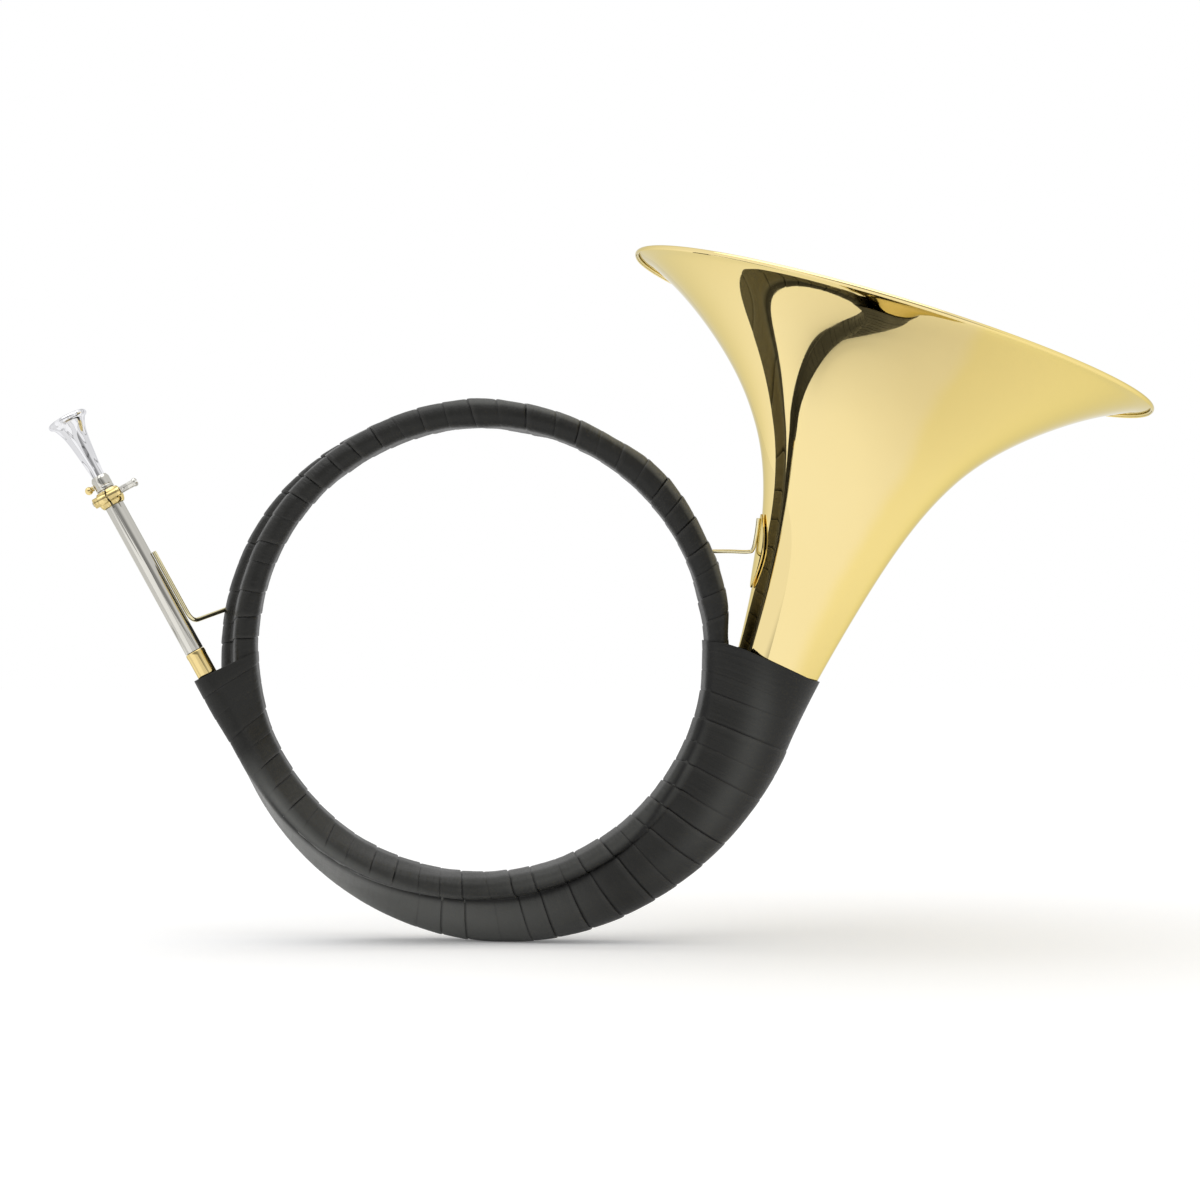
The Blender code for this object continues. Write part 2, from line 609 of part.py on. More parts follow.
def build_leadpipe():
    """The sleeve, its clamp, the sliding tube with its receiver, and the mouthpiece, on one leaning axis."""
    axis = bpy.data.objects.new("leadpipe_axis", None)
    bpy.context.collection.objects.link(axis)
    axis.location = lead_point(0)
    axis.rotation_euler = (0, math.radians(180 - LEAD_ANGLE), 0)

    sleeve = turned(
        "outer_sleeve",
        (
            (SLEEVE_FROM, SLEEVE_R),
            (SLEEVE_TO, SLEEVE_R),
            (SLEEVE_TO, SLEEVE_BORE_R),
            (SLEEVE_FROM, SLEEVE_BORE_R),
        ),
        "nickel_silver",
        parent=axis,
    )
    slit_low = (-SLIT / 2, -12 * MM, CLAMP_FROM - 1.6 * MM)
    cut(sleeve, block("sleeve_slit", slit_low, (SLIT / 2, 0, SLEEVE_TO + 5 * MM), axis))

    turned(
        "leadpipe_ferrule",
        (
            (LEAD_FERRULE_FROM, LEAD_FERRULE_R),
            (SLEEVE_FROM - JOINT_GAP, LEAD_FERRULE_R),
            (SLEEVE_FROM - JOINT_GAP, TUBE_R + 0.3 * MM),
            (LEAD_FERRULE_FROM, TUBE_R + 0.3 * MM),
        ),
        "yellow_brass",
        steps=20,
        parent=axis,
    )

    clamp = turned(
        "clamp_ring",
        (
            (CLAMP_FROM, CLAMP_BORE_R + 0.5 * MM),
            (CLAMP_FROM + 2.6 * MM, CLAMP_R),
            (CLAMP_FROM + 3.6 * MM, CLAMP_R),
            (CLAMP_FROM + 4.2 * MM, CLAMP_R - 0.5 * MM),
            (CLAMP_FROM + 4.8 * MM, CLAMP_R),
            (CLAMP_FROM + 5.8 * MM, CLAMP_R),
            (CLAMP_FROM + CLAMP_LENGTH, CLAMP_BORE_R + 0.7 * MM),
            (CLAMP_FROM + CLAMP_LENGTH, CLAMP_BORE_R),
            (CLAMP_FROM, CLAMP_BORE_R),
        ),
        "yellow_brass",
        parent=axis,
    )
    boss = rod(
        "clamp_boss", (BOSS_LEFT, BOSS_DEPTH, SCREW_T), (BOSS_RIGHT, BOSS_DEPTH, SCREW_T), BOSS_R, 20, "brass", axis
    )
    boss.hide_render = True
    boss.display_type = "WIRE"
    join = clamp.modifiers.new("boss", "BOOLEAN")
    join.operation = "UNION"
    join.solver = "EXACT"
    join.object = boss
    bore = rod("clamp_bore", (-1, 0, 0), (1, 0, 0), CLAMP_BORE_R, 24, "brass", axis)
    bore.location = (0, 0, SCREW_T)
    bore.rotation_euler = (0, 0, 0)
    bore.scale = (1, 1, 0.01)
    cut(clamp, bore)
    hole_low = (BOSS_LEFT - 5 * MM, BOSS_DEPTH, SCREW_T)
    cut(clamp, rod("screw_hole", hole_low, (BOSS_RIGHT + 5 * MM, BOSS_DEPTH, SCREW_T), SCREW_HOLE_R, 16, "brass", axis))
    cut(clamp, block("clamp_slit", (-SLIT / 2, -14 * MM, 140 * MM), (SLIT / 2, 0, 170 * MM), axis))

    head = BOSS_RIGHT + 0.3 * MM
    tail = BOSS_LEFT - 0.6 * MM
    screw = turned(
        "clamp_screw",
        (
            (tail, 0),
            (tail, SCREW_R),
            (head, SCREW_R),
            (head, SCREW_HEAD_R),
            (head + SCREW_HEAD_LENGTH - 2.4 * MM, SCREW_HEAD_R),
            (head + SCREW_HEAD_LENGTH - 2.0 * MM, SCREW_HEAD_R + 0.45 * MM),
            (head + SCREW_HEAD_LENGTH - 1.0 * MM, SCREW_HEAD_R + 0.45 * MM),
            (head + SCREW_HEAD_LENGTH, SCREW_HEAD_R * 0.5),
            (head + SCREW_HEAD_LENGTH, 0),
        ),
        "nickel_silver",
        steps=16,
        parent=axis,
        location=(0, BOSS_DEPTH, SCREW_T),
        closed=False,
    )
    screw.rotation_euler = (0, math.radians(90), 0)

    inner_top = RECEIVER_FROM + 1.8 * MM
    turned(
        "tuning_tube",
        (
            (inner_top - INNER_LENGTH, INNER_R),
            (inner_top, INNER_R),
            (inner_top, INNER_BORE_R),
            (inner_top - INNER_LENGTH, INNER_BORE_R),
        ),
        "nickel_silver",
        steps=20,
        parent=axis,
    )
    turned(
        "mouthpiece_receiver",
        (
            (RECEIVER_FROM, RECEIVER_R),
            (RECEIVER_FROM + RECEIVER_LENGTH - 1.6 * MM, RECEIVER_R),
            (RECEIVER_FROM + RECEIVER_LENGTH, RECEIVER_R - 0.8 * MM),
            (RECEIVER_FROM + RECEIVER_LENGTH, INNER_BORE_R),
            (inner_top + 0.3 * MM, INNER_BORE_R),
            (inner_top + 0.3 * MM, INNER_R + 0.2 * MM),
            (RECEIVER_FROM, INNER_R + 0.2 * MM),
        ),
        "nickel_silver",
        parent=axis,
    )
    ball_at = RECEIVER_R + 0.3 * MM
    ball_profile = [(0, 0), (0, 1.3 * MM), (0.9 * MM, 1.3 * MM), (0.9 * MM, 0.8 * MM)]
    for i in range(1, 7):
        turn = math.pi * (0.12 + 0.88 * i / 6)
        ball_profile.append((2.6 * MM - BALL_R * math.cos(turn), BALL_R * math.sin(turn) if i < 6 else 0))
    ball = turned(
        "ball_screw",
        ball_profile,
        "yellow_brass",
        steps=14,
        parent=axis,
        location=(-ball_at, 0, 162.7 * MM),
        closed=False,
    )
    ball.rotation_euler = (0, math.radians(-90), 0)

    outside = [(MOUTHPIECE_TOP - d * MM, r * MM) for d, r in MOUTHPIECE_OUTSIDE]
    inside = [(MOUTHPIECE_TOP - d * MM, r * MM) for d, r in MOUTHPIECE_INSIDE]
    turned("mouthpiece", outside + inside, "silver_plate", steps=20, parent=axis)
    return axis


def on_bell(distance, azimuth, lift):
    """A point on the bell's outside; azimuth 0 is the side towards the coil and 90 the front."""
    centre, _ = bell_centre(distance)
    turn = math.radians(azimuth)
    out = BELL_LEFT * math.cos(turn) + Vector((0, -1, 0)) * math.sin(turn)
    return centre + out * (bell_radius(distance) + lift)


def build_braces():
    """The bent wires that tie leadpipe and bell to the coil, and the bell's soldered foot."""
    right = polar(1, LEAD_ANGLE - 180, 0)
    beside = right * (SLEEVE_R + BRACE_WIRE_R + 0.2 * MM)
    on_coil = polar(134.0 * MM, 171.8, 8.0 * MM)
    wire(
        "leadpipe_brace",
        (
            lead_point(121 * MM) + beside,
            lead_point(111 * MM) + beside,
            lead_point(101 * MM) + beside,
            lead_point(91 * MM) + beside,
            lead_point(84.5 * MM) + beside + right * 0.7 * MM,
            lead_point(80.5 * MM) + beside + right * 4.0 * MM + Vector((0, 3 * MM, 0)),
            on_coil + (lead_point(84 * MM) + right * 12 * MM - on_coil) * 0.45,
            on_coil,
        ),
        BRACE_WIRE_R,
        "brass",
    )
    coil_end = polar(124.9 * MM, 23.3, -2 * MM)
    foot_top = on_bell(108.5 * MM, 2, FOOT_THICK + 0.6 * MM + BELL_WIRE_R)
    bend = Vector((131.6 * MM, -2 * MM, 48.4 * MM))
    wire(
        "bell_brace",
        (
            coil_end,
            coil_end + (bend - coil_end) * 0.45,
            bend - Vector((2.6 * MM, 0, 0.2 * MM)),
            bend + Vector((0.2 * MM, 0, 1.6 * MM)),
            bend + (foot_top - bend) * 0.5,
            foot_top,
        ),
        BELL_WIRE_R,
        "brass",
    )
    build_foot()


def build_foot():
    """The pointed plate under the bell brace, bent to the bell's throat."""
    rows = 9
    columns = 4
    bm = bmesh.new()
    layers = []
    for lift in (0.35 * MM, 0.35 * MM + FOOT_THICK):
        grid = []
        for i in range(rows + 1):
            share = i / rows
            half = FOOT_HALF_ANGLE * math.sin(math.pi * (0.04 + 0.92 * share)) ** 0.8
            distance = FOOT_FROM + (FOOT_TO - FOOT_FROM) * share
            spots = [FOOT_TURN + half * (2 * k / columns - 1) for k in range(columns + 1)]
            grid.append([bm.verts.new(on_bell(distance, spot, lift)) for spot in spots])
        layers.append(grid)
    low, high = layers
    for i in range(rows):
        for k in range(columns):
            for grid in (low, high):
                bm.faces.new((grid[i][k], grid[i][k + 1], grid[i + 1][k + 1], grid[i + 1][k]))
    border = [(0, k) for k in range(columns + 1)] + [(i, columns) for i in range(1, rows + 1)]
    border += [(rows, k) for k in range(columns - 1, -1, -1)] + [(i, 0) for i in range(rows - 1, 0, -1)]
    for (i, k), (j, m) in zip(border, border[1:] + border[:1]):
        bm.faces.new((low[i][k], low[j][m], high[j][m], high[i][k]))
    keep(bm, "bell_foot", "brass")


def main():
    for old in list(bpy.data.objects):
        bpy.data.objects.remove(old)
    build_turns()
    build_bell()
    build_leadpipe()
    build_braces()
    build_leather()


main()
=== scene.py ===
# %% [markdown]
# # A leather-wound hunting horn
#
# A hunting horn is one long brass tube. It starts on the left in a straight leadpipe with a mouthpiece,
# is wound a little over three times round an open ring, and widens into a bell on the right. Thin black
# leather is wound over the ring, so that cold or wet hands can hold it.
#
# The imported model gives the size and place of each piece. This lesson makes the surface that one sees:
# the spun bell, the turned and silvered parts, and the lapped leather.

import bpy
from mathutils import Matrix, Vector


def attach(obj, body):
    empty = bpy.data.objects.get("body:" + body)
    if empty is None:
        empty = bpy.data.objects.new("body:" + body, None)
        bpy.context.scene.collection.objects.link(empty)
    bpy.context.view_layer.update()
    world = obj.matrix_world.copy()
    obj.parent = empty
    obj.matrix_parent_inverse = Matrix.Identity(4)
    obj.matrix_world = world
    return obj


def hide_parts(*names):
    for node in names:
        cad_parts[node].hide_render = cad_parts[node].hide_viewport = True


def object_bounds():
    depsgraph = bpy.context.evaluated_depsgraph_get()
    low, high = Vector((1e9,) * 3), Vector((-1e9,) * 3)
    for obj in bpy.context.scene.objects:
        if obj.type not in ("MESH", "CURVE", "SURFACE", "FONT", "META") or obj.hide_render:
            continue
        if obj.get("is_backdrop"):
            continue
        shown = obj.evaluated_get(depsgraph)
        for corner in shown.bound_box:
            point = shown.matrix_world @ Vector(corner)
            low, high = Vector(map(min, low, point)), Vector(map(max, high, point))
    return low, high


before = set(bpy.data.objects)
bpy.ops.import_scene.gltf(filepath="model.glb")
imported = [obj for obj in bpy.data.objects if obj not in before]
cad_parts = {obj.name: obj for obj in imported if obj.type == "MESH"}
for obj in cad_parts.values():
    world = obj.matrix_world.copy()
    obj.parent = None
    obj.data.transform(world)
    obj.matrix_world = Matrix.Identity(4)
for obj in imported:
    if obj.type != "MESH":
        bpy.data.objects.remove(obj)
CAD_BOX = [list(corner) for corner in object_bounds()]
print("packed nodes:", ", ".join(sorted(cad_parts)))

# %% Blender's modules, and millimetres
import math
from contextlib import contextmanager
from math import cos, pi, radians, sin

import bpy
import numpy as np
from mathutils import Vector

MM = 0.001

# %% [markdown]
# ## Small helpers
#
# Blender's operators work on what is selected, so each step first says which object that is. The packed
# nodes come in selected, and a new primitive is selected as well. These few helpers keep that in order.

# %% Select, edit and apply


def choose(*pieces):
    """Selects only these objects, and makes the first one active."""
    bpy.ops.object.select_all(action="DESELECT")
    for piece in pieces:
        piece.select_set(True)
    bpy.context.view_layer.objects.active = pieces[0]


def add(operator, name, **settings):
    """Adds a primitive with one of Blender's operators and names it."""
    bpy.ops.object.select_all(action="DESELECT")
    operator(**settings)
    piece = bpy.context.active_object
    piece.name = name
    piece.data.name = name
    return piece


@contextmanager
def whole_mesh(piece):
    """Edit mode on a piece, with all of its mesh selected."""
    choose(piece)
    bpy.ops.object.mode_set(mode="EDIT")
    bpy.ops.mesh.select_all(action="SELECT")
    yield
    bpy.ops.object.mode_set(mode="OBJECT")


def settle(piece):
    """Moves an object's place, turn and size into its mesh."""
    choose(piece)
    bpy.ops.object.transform_apply(location=True, rotation=True, scale=True)
    return piece


def finish_with(piece, kind, **settings):
    """Adds a modifier, sets it up and applies it."""
    choose(piece)
    change = piece.modifiers.new(kind.lower(), kind)
    for key, value in settings.items():
        setattr(change, key, value)
    bpy.ops.object.modifier_apply(modifier=change.name)
    return piece


def dress(piece, replaced, material, degrees=35, body="horn_body"):
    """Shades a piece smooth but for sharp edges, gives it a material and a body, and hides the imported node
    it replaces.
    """
    choose(piece)
    bpy.ops.object.shade_smooth_by_angle(angle=radians(degrees))
    piece.data.materials.clear()
    piece.data.materials.append(material)
    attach(piece, body)
    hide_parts(replaced)
    print(f"{piece.name}: {len(piece.data.polygons)} faces")


def face_towards(piece, number, direction):
    """Flips all faces if the one with this number looks away from the direction."""
    if piece.data.polygons[number].normal.dot(direction) < 0:
        with whole_mesh(piece):
            bpy.ops.mesh.flip_normals()


def heal(piece):
    """Merges corners that lie on each other, to 4 micrometres, and turns every face outwards."""
    with whole_mesh(piece):
        bpy.ops.mesh.remove_doubles(threshold=0.004 * MM)
        bpy.ops.mesh.normals_make_consistent(inside=False)
    return piece


# %% [markdown]
# ## The route of the tube
#
# The horn's shape follows from one line: the tube's centre, wound up from the leadpipe through three
# turns and out into the bell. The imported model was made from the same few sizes, so the leather and the
# bell that are made here lie exactly where their nodes do. Angles run counter-clockwise from the right,
# as seen from the front.

# %% Sizes of the ring, the leadpipe and the bell
COIL_R = 117.6 * MM
TUBE_R = 4.0 * MM
TURN_PITCH = 9.4 * MM
LEAD_R = 124.4 * MM
LEAD_ANGLE = 208.8
LEAD_DEPTH = -14.0 * MM
LEAD_FERRULE_R = 5.0 * MM
SLEEVE_FROM = 68.2 * MM
BELL_END_ANGLE = LEAD_ANGLE + 1215
RIM_CENTRE = Vector((205.2 * MM, 0, 158.9 * MM))
RIM_LEAN = 17.4
BELL_STRAIGHT = 60 * MM

# The branch: wound angle, radius from the coil's centre, depth, tube radius
BRANCH = (
    (1176, 117.6, 9.4, 4.0), (1197, 118.6, 11.0, 4.9), (1230, 122.4, 13.2, 6.0), (1260, 124.0, 14.0, 6.8),
    (1290, 125.6, 14.0, 7.8), (1320, 129.4, 14.4, 9.3), (1335, 131.6, 13.2, 10.3),
    (1350, 133.4, 9.0, 11.4), (1365, 134.6, 4.0, 12.8), (1380, 135.3, 0.6, 14.2), (1410, 138.4, 0.0, 17.4),
    (1425, 141.0, 0.0, 19.1),
)

# The bell: distance from the rim, radius
FLARE = (
    (0.0, 132.2), (3.0, 125.5), (10.0, 112.5), (22.5, 93.5), (35.0, 76.5), (50.0, 62.0), (68.0, 49.8),
    (85.0, 41.4), (103.0, 35.4), (125.0, 30.0), (150.0, 25.3), (175.0, 21.6), (206.0, 18.6),
)
FLARE_LAW = np.polyfit([distance for distance, _ in FLARE], np.log([radius for _, radius in FLARE]), 5)

# %% The wound line as a function of the angle


def polar(radius, degrees, depth):
    """A point at this radius and angle about the coil's centre."""
    turn = radians(degrees)
    return Vector((radius * cos(turn), depth, radius * sin(turn)))


def ease(x, start, end):
    """0 before start, 1 after end, smooth between them."""
    share = min(max((x - start) / (end - start), 0), 1)
    return share * share * (3 - 2 * share)


def along(stations, x):
    """The values at x on a smooth curve through the stations, whose first column is x."""
    table = np.array(stations, dtype=float)
    xs = table[:, 0]
    slopes = np.gradient(table[:, 1:], xs, axis=0)
    i = int(np.clip(np.searchsorted(xs, x) - 1, 0, len(xs) - 2))
    step = xs[i + 1] - xs[i]
    u = min(max((x - xs[i]) / step, 0), 1)
    low, high = table[i, 1:], table[i + 1, 1:]
    start_share = (2 * u**3 - 3 * u**2 + 1) * low + (u**3 - 2 * u**2 + u) * step * slopes[i]
    end_share = (3 * u**2 - 2 * u**3) * high + (u**3 - u**2) * step * slopes[i + 1]
    return (start_share + end_share).tolist()


def curve_through(stations, count):
    """So many points on a smooth curve through the stations."""
    table = [(index, *station) for index, station in enumerate(stations)]
    return [along(table, stop) for stop in np.linspace(0, len(stations) - 1, count).tolist()]


def wound(angle):
    """The centre and radius of the tube at an angle wound up from the leadpipe."""
    if angle >= BRANCH[0][0]:
        radius, depth, tube = along(BRANCH, angle)
        return polar(radius * MM, angle, depth * MM), tube * MM
    slot = -1 + ease(angle, 510, 660) + ease(angle, 870, 1020)
    lead = 1 - ease(angle, LEAD_ANGLE, LEAD_ANGLE + 70)
    beside_bell = ease(angle, 600, 650) * (1 - ease(angle, 725, 750))
    behind_bell = ease(angle, 950, 980) * (1 - ease(angle, 1015, 1060))
    radius = COIL_R + lead * (LEAD_R - COIL_R) - beside_bell * 1.5 * MM - behind_bell * 0.8 * MM
    return polar(radius, angle, slot * TURN_PITCH + lead * (LEAD_DEPTH + TURN_PITCH)), TUBE_R


LEAD_TURN = radians(180 - LEAD_ANGLE)
LEAD_FOOT = polar(LEAD_R, LEAD_ANGLE, LEAD_DEPTH)
LEAD_UP = Vector((sin(LEAD_TURN), 0, cos(LEAD_TURN)))


def lead_point(distance):
    """A point on the leadpipe's axis, this far up from where it leaves the ring."""
    return LEAD_FOOT + distance * LEAD_UP


# %% The bell's centre line
BELL_AXIS = Vector((sin(radians(RIM_LEAN)), 0, cos(radians(RIM_LEAN))))
BELL_LEFT = Vector((-BELL_AXIS.z, 0, BELL_AXIS.x))


def bell_line():
    """Points down the bell's centre line from the rim to the branch, and their distances."""
    straight = RIM_CENTRE - BELL_AXIS * BELL_STRAIGHT
    end = wound(BELL_END_ANGLE)[0]
    heading = (end - wound(BELL_END_ANGLE - 2)[0]).normalized()
    reach = (straight - end).length * 0.36
    points = [RIM_CENTRE.copy()]
    for u in np.linspace(0, 1, 121).tolist():
        first = (1 - u) ** 3 * straight + 3 * u * (1 - u) ** 2 * (straight - BELL_AXIS * reach)
        points.append(first + 3 * u**2 * (1 - u) * (end + heading * reach) + u**3 * end)
    distances = [0.0]
    for a, b in zip(points, points[1:]):
        distances.append(distances[-1] + (b - a).length)
    return np.array([tuple(point) for point in points]), distances


BELL_POINTS, BELL_DISTANCES = bell_line()


def bell_centre(distance):
    """The point and the direction towards the rim, this far down the bell."""
    at, near, far = (
        Vector([float(np.interp(where, BELL_DISTANCES, BELL_POINTS[:, k])) for k in range(3)])
        for where in (distance, max(distance - 3 * MM, 0), distance + 3 * MM)
    )
    return at, (near - far).normalized()


def bell_radius(distance):
    """The bell's outside radius at a distance from the rim. Near the rim it turns out a little more."""
    far = distance / MM
    turned_out = (0.47 - 4.0 * (1 - math.exp(-far / 5))) * math.exp(-((far / 22) ** 2))
    return (float(np.exp(np.polyval(FLARE_LAW, far))) + turned_out) * MM


print(f"bell: {BELL_DISTANCES[-1] / MM:.0f} mm long, {2 * bell_radius(0) / MM:.0f} mm across the flare")

# %% [markdown]
# ## Finishes
#
# Polished metal shows almost nothing of its own: its look is its colour, how sharp its reflections are,
# and the faint marks of polishing and handling. Leather is the other way round: dark and dull, but full
# of grain and creases. Both effects are node groups, so that each metal and each leather takes its own
# amount of them.

# %% Build node trees in few words


def feed(tree, inputs, sockets):
    """Gives inputs their values or links."""
    for key, value in sockets.items():
        if isinstance(value, bpy.types.NodeSocket):
            tree.links.new(value, inputs[key])
        else:
            inputs[key].default_value = value


def add_node(tree, kind, sockets=None, **settings):
    """Adds a shader node, with its settings, and gives its inputs values or links."""
    made = tree.nodes.new("ShaderNode" + kind)
    for key, value in settings.items():
        setattr(made, key, value)
    feed(tree, made.inputs, sockets or {})
    return made


def calculate(tree, operation, a, b=0.0):
    """The result of one of Blender's sums on two values or sockets."""
    return add_node(tree, "Math", {0: a, 1: b}, operation=operation).outputs[0]


def multiply(tree, a, b):
    """The product of two values or sockets."""
    return calculate(tree, "MULTIPLY", a, b)


def plus(tree, a, b):
    """The sum of two values or sockets."""
    return calculate(tree, "ADD", a, b)


def ramp(tree, value, start, end, low, high, kind="LINEAR"):
    """A value carried over from start and end to low and high, and held beyond them."""
    sockets = {0: value, 1: start, 2: end, 3: low, 4: high}
    return add_node(tree, "MapRange", sockets, interpolation_type=kind).outputs[0]


def noise(tree, vector, scale, detail, distortion=0.0):
    """Soft noise around one half."""
    sockets = {"Vector": vector, "Scale": scale, "Detail": detail, "Distortion": distortion}
    return add_node(tree, "TexNoise", sockets).outputs[0]


def mix_colours(tree, share, first, second):
    """The colour between two colours or sockets, at a share that may be a socket."""
    first, second = ((*value, 1) if isinstance(value, tuple) else value for value in (first, second))
    return add_node(tree, "Mix", {0: share, 6: first, 7: second}, data_type="RGBA").outputs[2]


def new_group(name, inputs, outputs):
    """A node group that takes a vector and floats and gives floats, and its two rows of sockets."""
    group = bpy.data.node_groups.new(name, "ShaderNodeTree")
    group.interface.new_socket("Vector", in_out="INPUT", socket_type="NodeSocketVector")
    for labels, way in ((inputs, "INPUT"), (outputs, "OUTPUT")):
        for label in labels:
            group.interface.new_socket(label, in_out=way, socket_type="NodeSocketFloat")
    print("group:", name)
    return group, group.nodes.new("NodeGroupInput").outputs, group.nodes.new("NodeGroupOutput").inputs


def new_material(name):
    """A material, its node tree and its shader."""
    made = bpy.data.materials.new(name)
    made.use_nodes = True
    return made, made.node_tree, made.node_tree.nodes["Principled BSDF"]


# %% Polishing marks and fingerprints on metal
polish, given, results = new_group(
    "Polishing marks", ("Base roughness", "Smudges", "Hairlines"), ("Roughness", "Height", "Cloud")
)
smudges = ramp(polish, noise(polish, given["Vector"], 90.0, 4.0), 0.5, 0.78, 0.0, 1.0)
rough = plus(polish, given["Base roughness"], multiply(polish, smudges, given["Smudges"]))
stretched = add_node(polish, "Mapping", {"Vector": given["Vector"], "Scale": (900, 900, 60)})
hairs = multiply(polish, noise(polish, stretched.outputs[0], 1.0, 2.0), given["Hairlines"])
cloud = noise(polish, given["Vector"], 16.0, 3.0)
feed(polish, results, {"Roughness": rough, "Height": hairs, "Cloud": cloud})

# %% Grain and creases of leather
grain, given, results = new_group("Leather grain", ("Pebble", "Crease"), ("Height", "Patches"))
cells = {"Vector": given["Vector"], "Scale": 1500.0, "Randomness": 1.0}
pebbles = add_node(grain, "TexVoronoi", cells, feature="SMOOTH_F1")
pebbled = multiply(grain, pebbles.outputs["Distance"], given["Pebble"])
creased = multiply(grain, noise(grain, given["Vector"], 170.0, 5.0, 1.2), given["Crease"])
patches = noise(grain, given["Vector"], 38.0, 3.0)
feed(grain, results, {"Height": plus(grain, pebbled, creased), "Patches": patches})

# %% Painted reflections: fine dark lines and soft dark bands along a tube, where a polished tube would mirror dark things
reflection_streaks, given, results = new_group("Painted reflection streaks", (), ("Lines", "Bands"))
field = noise(reflection_streaks, given["Vector"], 1.0, 1.0)
from_middle = calculate(reflection_streaks, "ABSOLUTE", calculate(reflection_streaks, "SUBTRACT", field, 0.5))
fine_lines = ramp(reflection_streaks, from_middle, 0.004, 0.022, 1.0, 0.0)
soft_bands = ramp(reflection_streaks, field, 0.38, 0.62, 0.0, 1.0, "SMOOTHSTEP")
feed(reflection_streaks, results, {"Lines": fine_lines, "Bands": soft_bands})

# %% The metals


def metal(name, pale, deep, edge, roughness, smudges, hairlines, lines=0.0, bands=0.0):
    """A polished metal whose colour drifts between pale and deep, with its own tint at a glancing angle."""
    made, tree, shader = new_material(name)
    place = add_node(tree, "TexCoord").outputs["Object"]
    amounts = {"Vector": place, "Base roughness": roughness, "Smudges": smudges, "Hairlines": hairlines}
    marks = add_node(tree, "Group", amounts, node_tree=polish).outputs
    tint = mix_colours(tree, marks["Cloud"], pale, deep)
    # Painted dark reflections: darker bands and lines along the leadpipe's axis
    if lines or bands:
        leaned = {0: place, 1: LEAD_FOOT, 2: (0, LEAD_TURN, 0), 3: (1 / 420, 1 / 420, 1 / 6)}
        on_axis = add_node(tree, "Mapping", leaned, vector_type="TEXTURE").outputs[0]
        tube = add_node(tree, "Group", {"Vector": on_axis}, node_tree=reflection_streaks).outputs
        for kind, amount, dark in (("Bands", bands, 0.45), ("Lines", lines, 0.12)):
            share = multiply(tree, tube[kind], amount)
            tint = mix_colours(tree, share, tint, tuple(dark * value for value in deep))
    bump = add_node(tree, "Bump", {"Height": marks["Height"], "Distance": 0.00002, "Strength": 0.3})
    surface = {"Base Color": tint, "Roughness": marks["Roughness"], "Normal": bump.outputs[0]}
    feed(tree, shader.inputs, {**surface, "Metallic": 1.0, "Specular Tint": (*edge, 1)})
    print("metal:", name)
    return made


# Colours: pale, deep, at a glancing angle. Then roughness, smudges, hairlines, and painted reflection lines
# and bands
PALE_EDGE = (0.70, 0.67, 0.50)
BRASS = metal("lacquered brass", (0.885, 0.735, 0.375), (0.86, 0.695, 0.325), PALE_EDGE, 0.02, 0.03, 0.12)
WIRE_BRASS = metal("drawn brass wire", (0.82, 0.76, 0.52), (0.74, 0.66, 0.40), PALE_EDGE, 0.14, 0.08, 0.05)
YELLOW_BRASS = metal(
    "turned brass", (0.90, 0.74, 0.38), (0.84, 0.64, 0.26), PALE_EDGE, 0.08, 0.08, 0.5, 0.3, 0.45
)
NICKEL_SILVER = metal(
    "nickel silver", (0.78, 0.77, 0.72), (0.68, 0.66, 0.60), (0.8, 0.8, 0.76), 0.07, 0.08, 0.5, 0.75, 0.5
)
SILVER_PLATE = metal(
    "silver plate", (0.88, 0.88, 0.90), (0.82, 0.82, 0.84), (0.8, 0.8, 0.82), 0.04, 0.06, 0.2, 0.7, 0.35
)

# %% The bell's own brass: the same metal, with a painted warm reflection towards the lower right
BELL_BRASS = BRASS.copy()
BELL_BRASS.name = "lacquered bell brass"
bell_tree = BELL_BRASS.node_tree
bell_colour = bell_tree.nodes["Principled BSDF"].inputs["Base Color"]
bell_place = add_node(bell_tree, "TexCoord").outputs["Object"]
lower_right = add_node(
    bell_tree, "VectorMath", {0: bell_place, 1: (0.893, 0.0, -0.451)}, operation="DOT_PRODUCT"
).outputs["Value"]
bell_marks = next(node for node in bell_tree.nodes if node.type == "GROUP")
wavy = plus(bell_tree, lower_right, multiply(bell_tree, bell_marks.outputs["Cloud"], 0.016))
# Painted reflection: past a wavy line towards the lower right the colour turns a deeper yellow
painted_reflection_share = ramp(bell_tree, wavy, 0.146, 0.156, 0.0, 1.0, "SMOOTHSTEP")
painted_reflection_tint = mix_colours(bell_tree, painted_reflection_share, bell_colour.links[0].from_socket, (0.87, 0.70, 0.275))
bell_tree.links.new(painted_reflection_tint, bell_colour)
print("bell:", BELL_BRASS.name)

# %% The leather: painted shade in its seam clefts and groove, and painted grey where it is rubbed or shows a sheen
SKIN_NAMES = ("seam", "wear_and_sheen", "painted_groove_shade")
PAINTED_SHADE_BLACK = (0.002, 0.002, 0.002)
LEATHER_BLACK, hide, hide_shader = new_material("black leather")
hide_place = add_node(hide, "TexCoord").outputs["Object"]
hide_strip = add_node(hide, "UVMap", uv_map="strip").outputs[0]
hide_grain = add_node(
    hide, "Group", {"Vector": hide_place, "Pebble": 0.4, "Crease": 0.9}, node_tree=grain
).outputs
seam, wear_and_sheen, painted_groove_shade = (
    add_node(hide, "Attribute", attribute_name=name).outputs["Fac"] for name in SKIN_NAMES
)
across = add_node(hide, "SeparateXYZ", {0: hide_strip}).outputs[1]
far_edge = multiply(hide, ramp(hide, across, 0.80, 0.97, 0.0, 1.0), hide_grain["Patches"])
near_edge = ramp(hide, across, 0.0, 0.10, 1.0, 0.0)
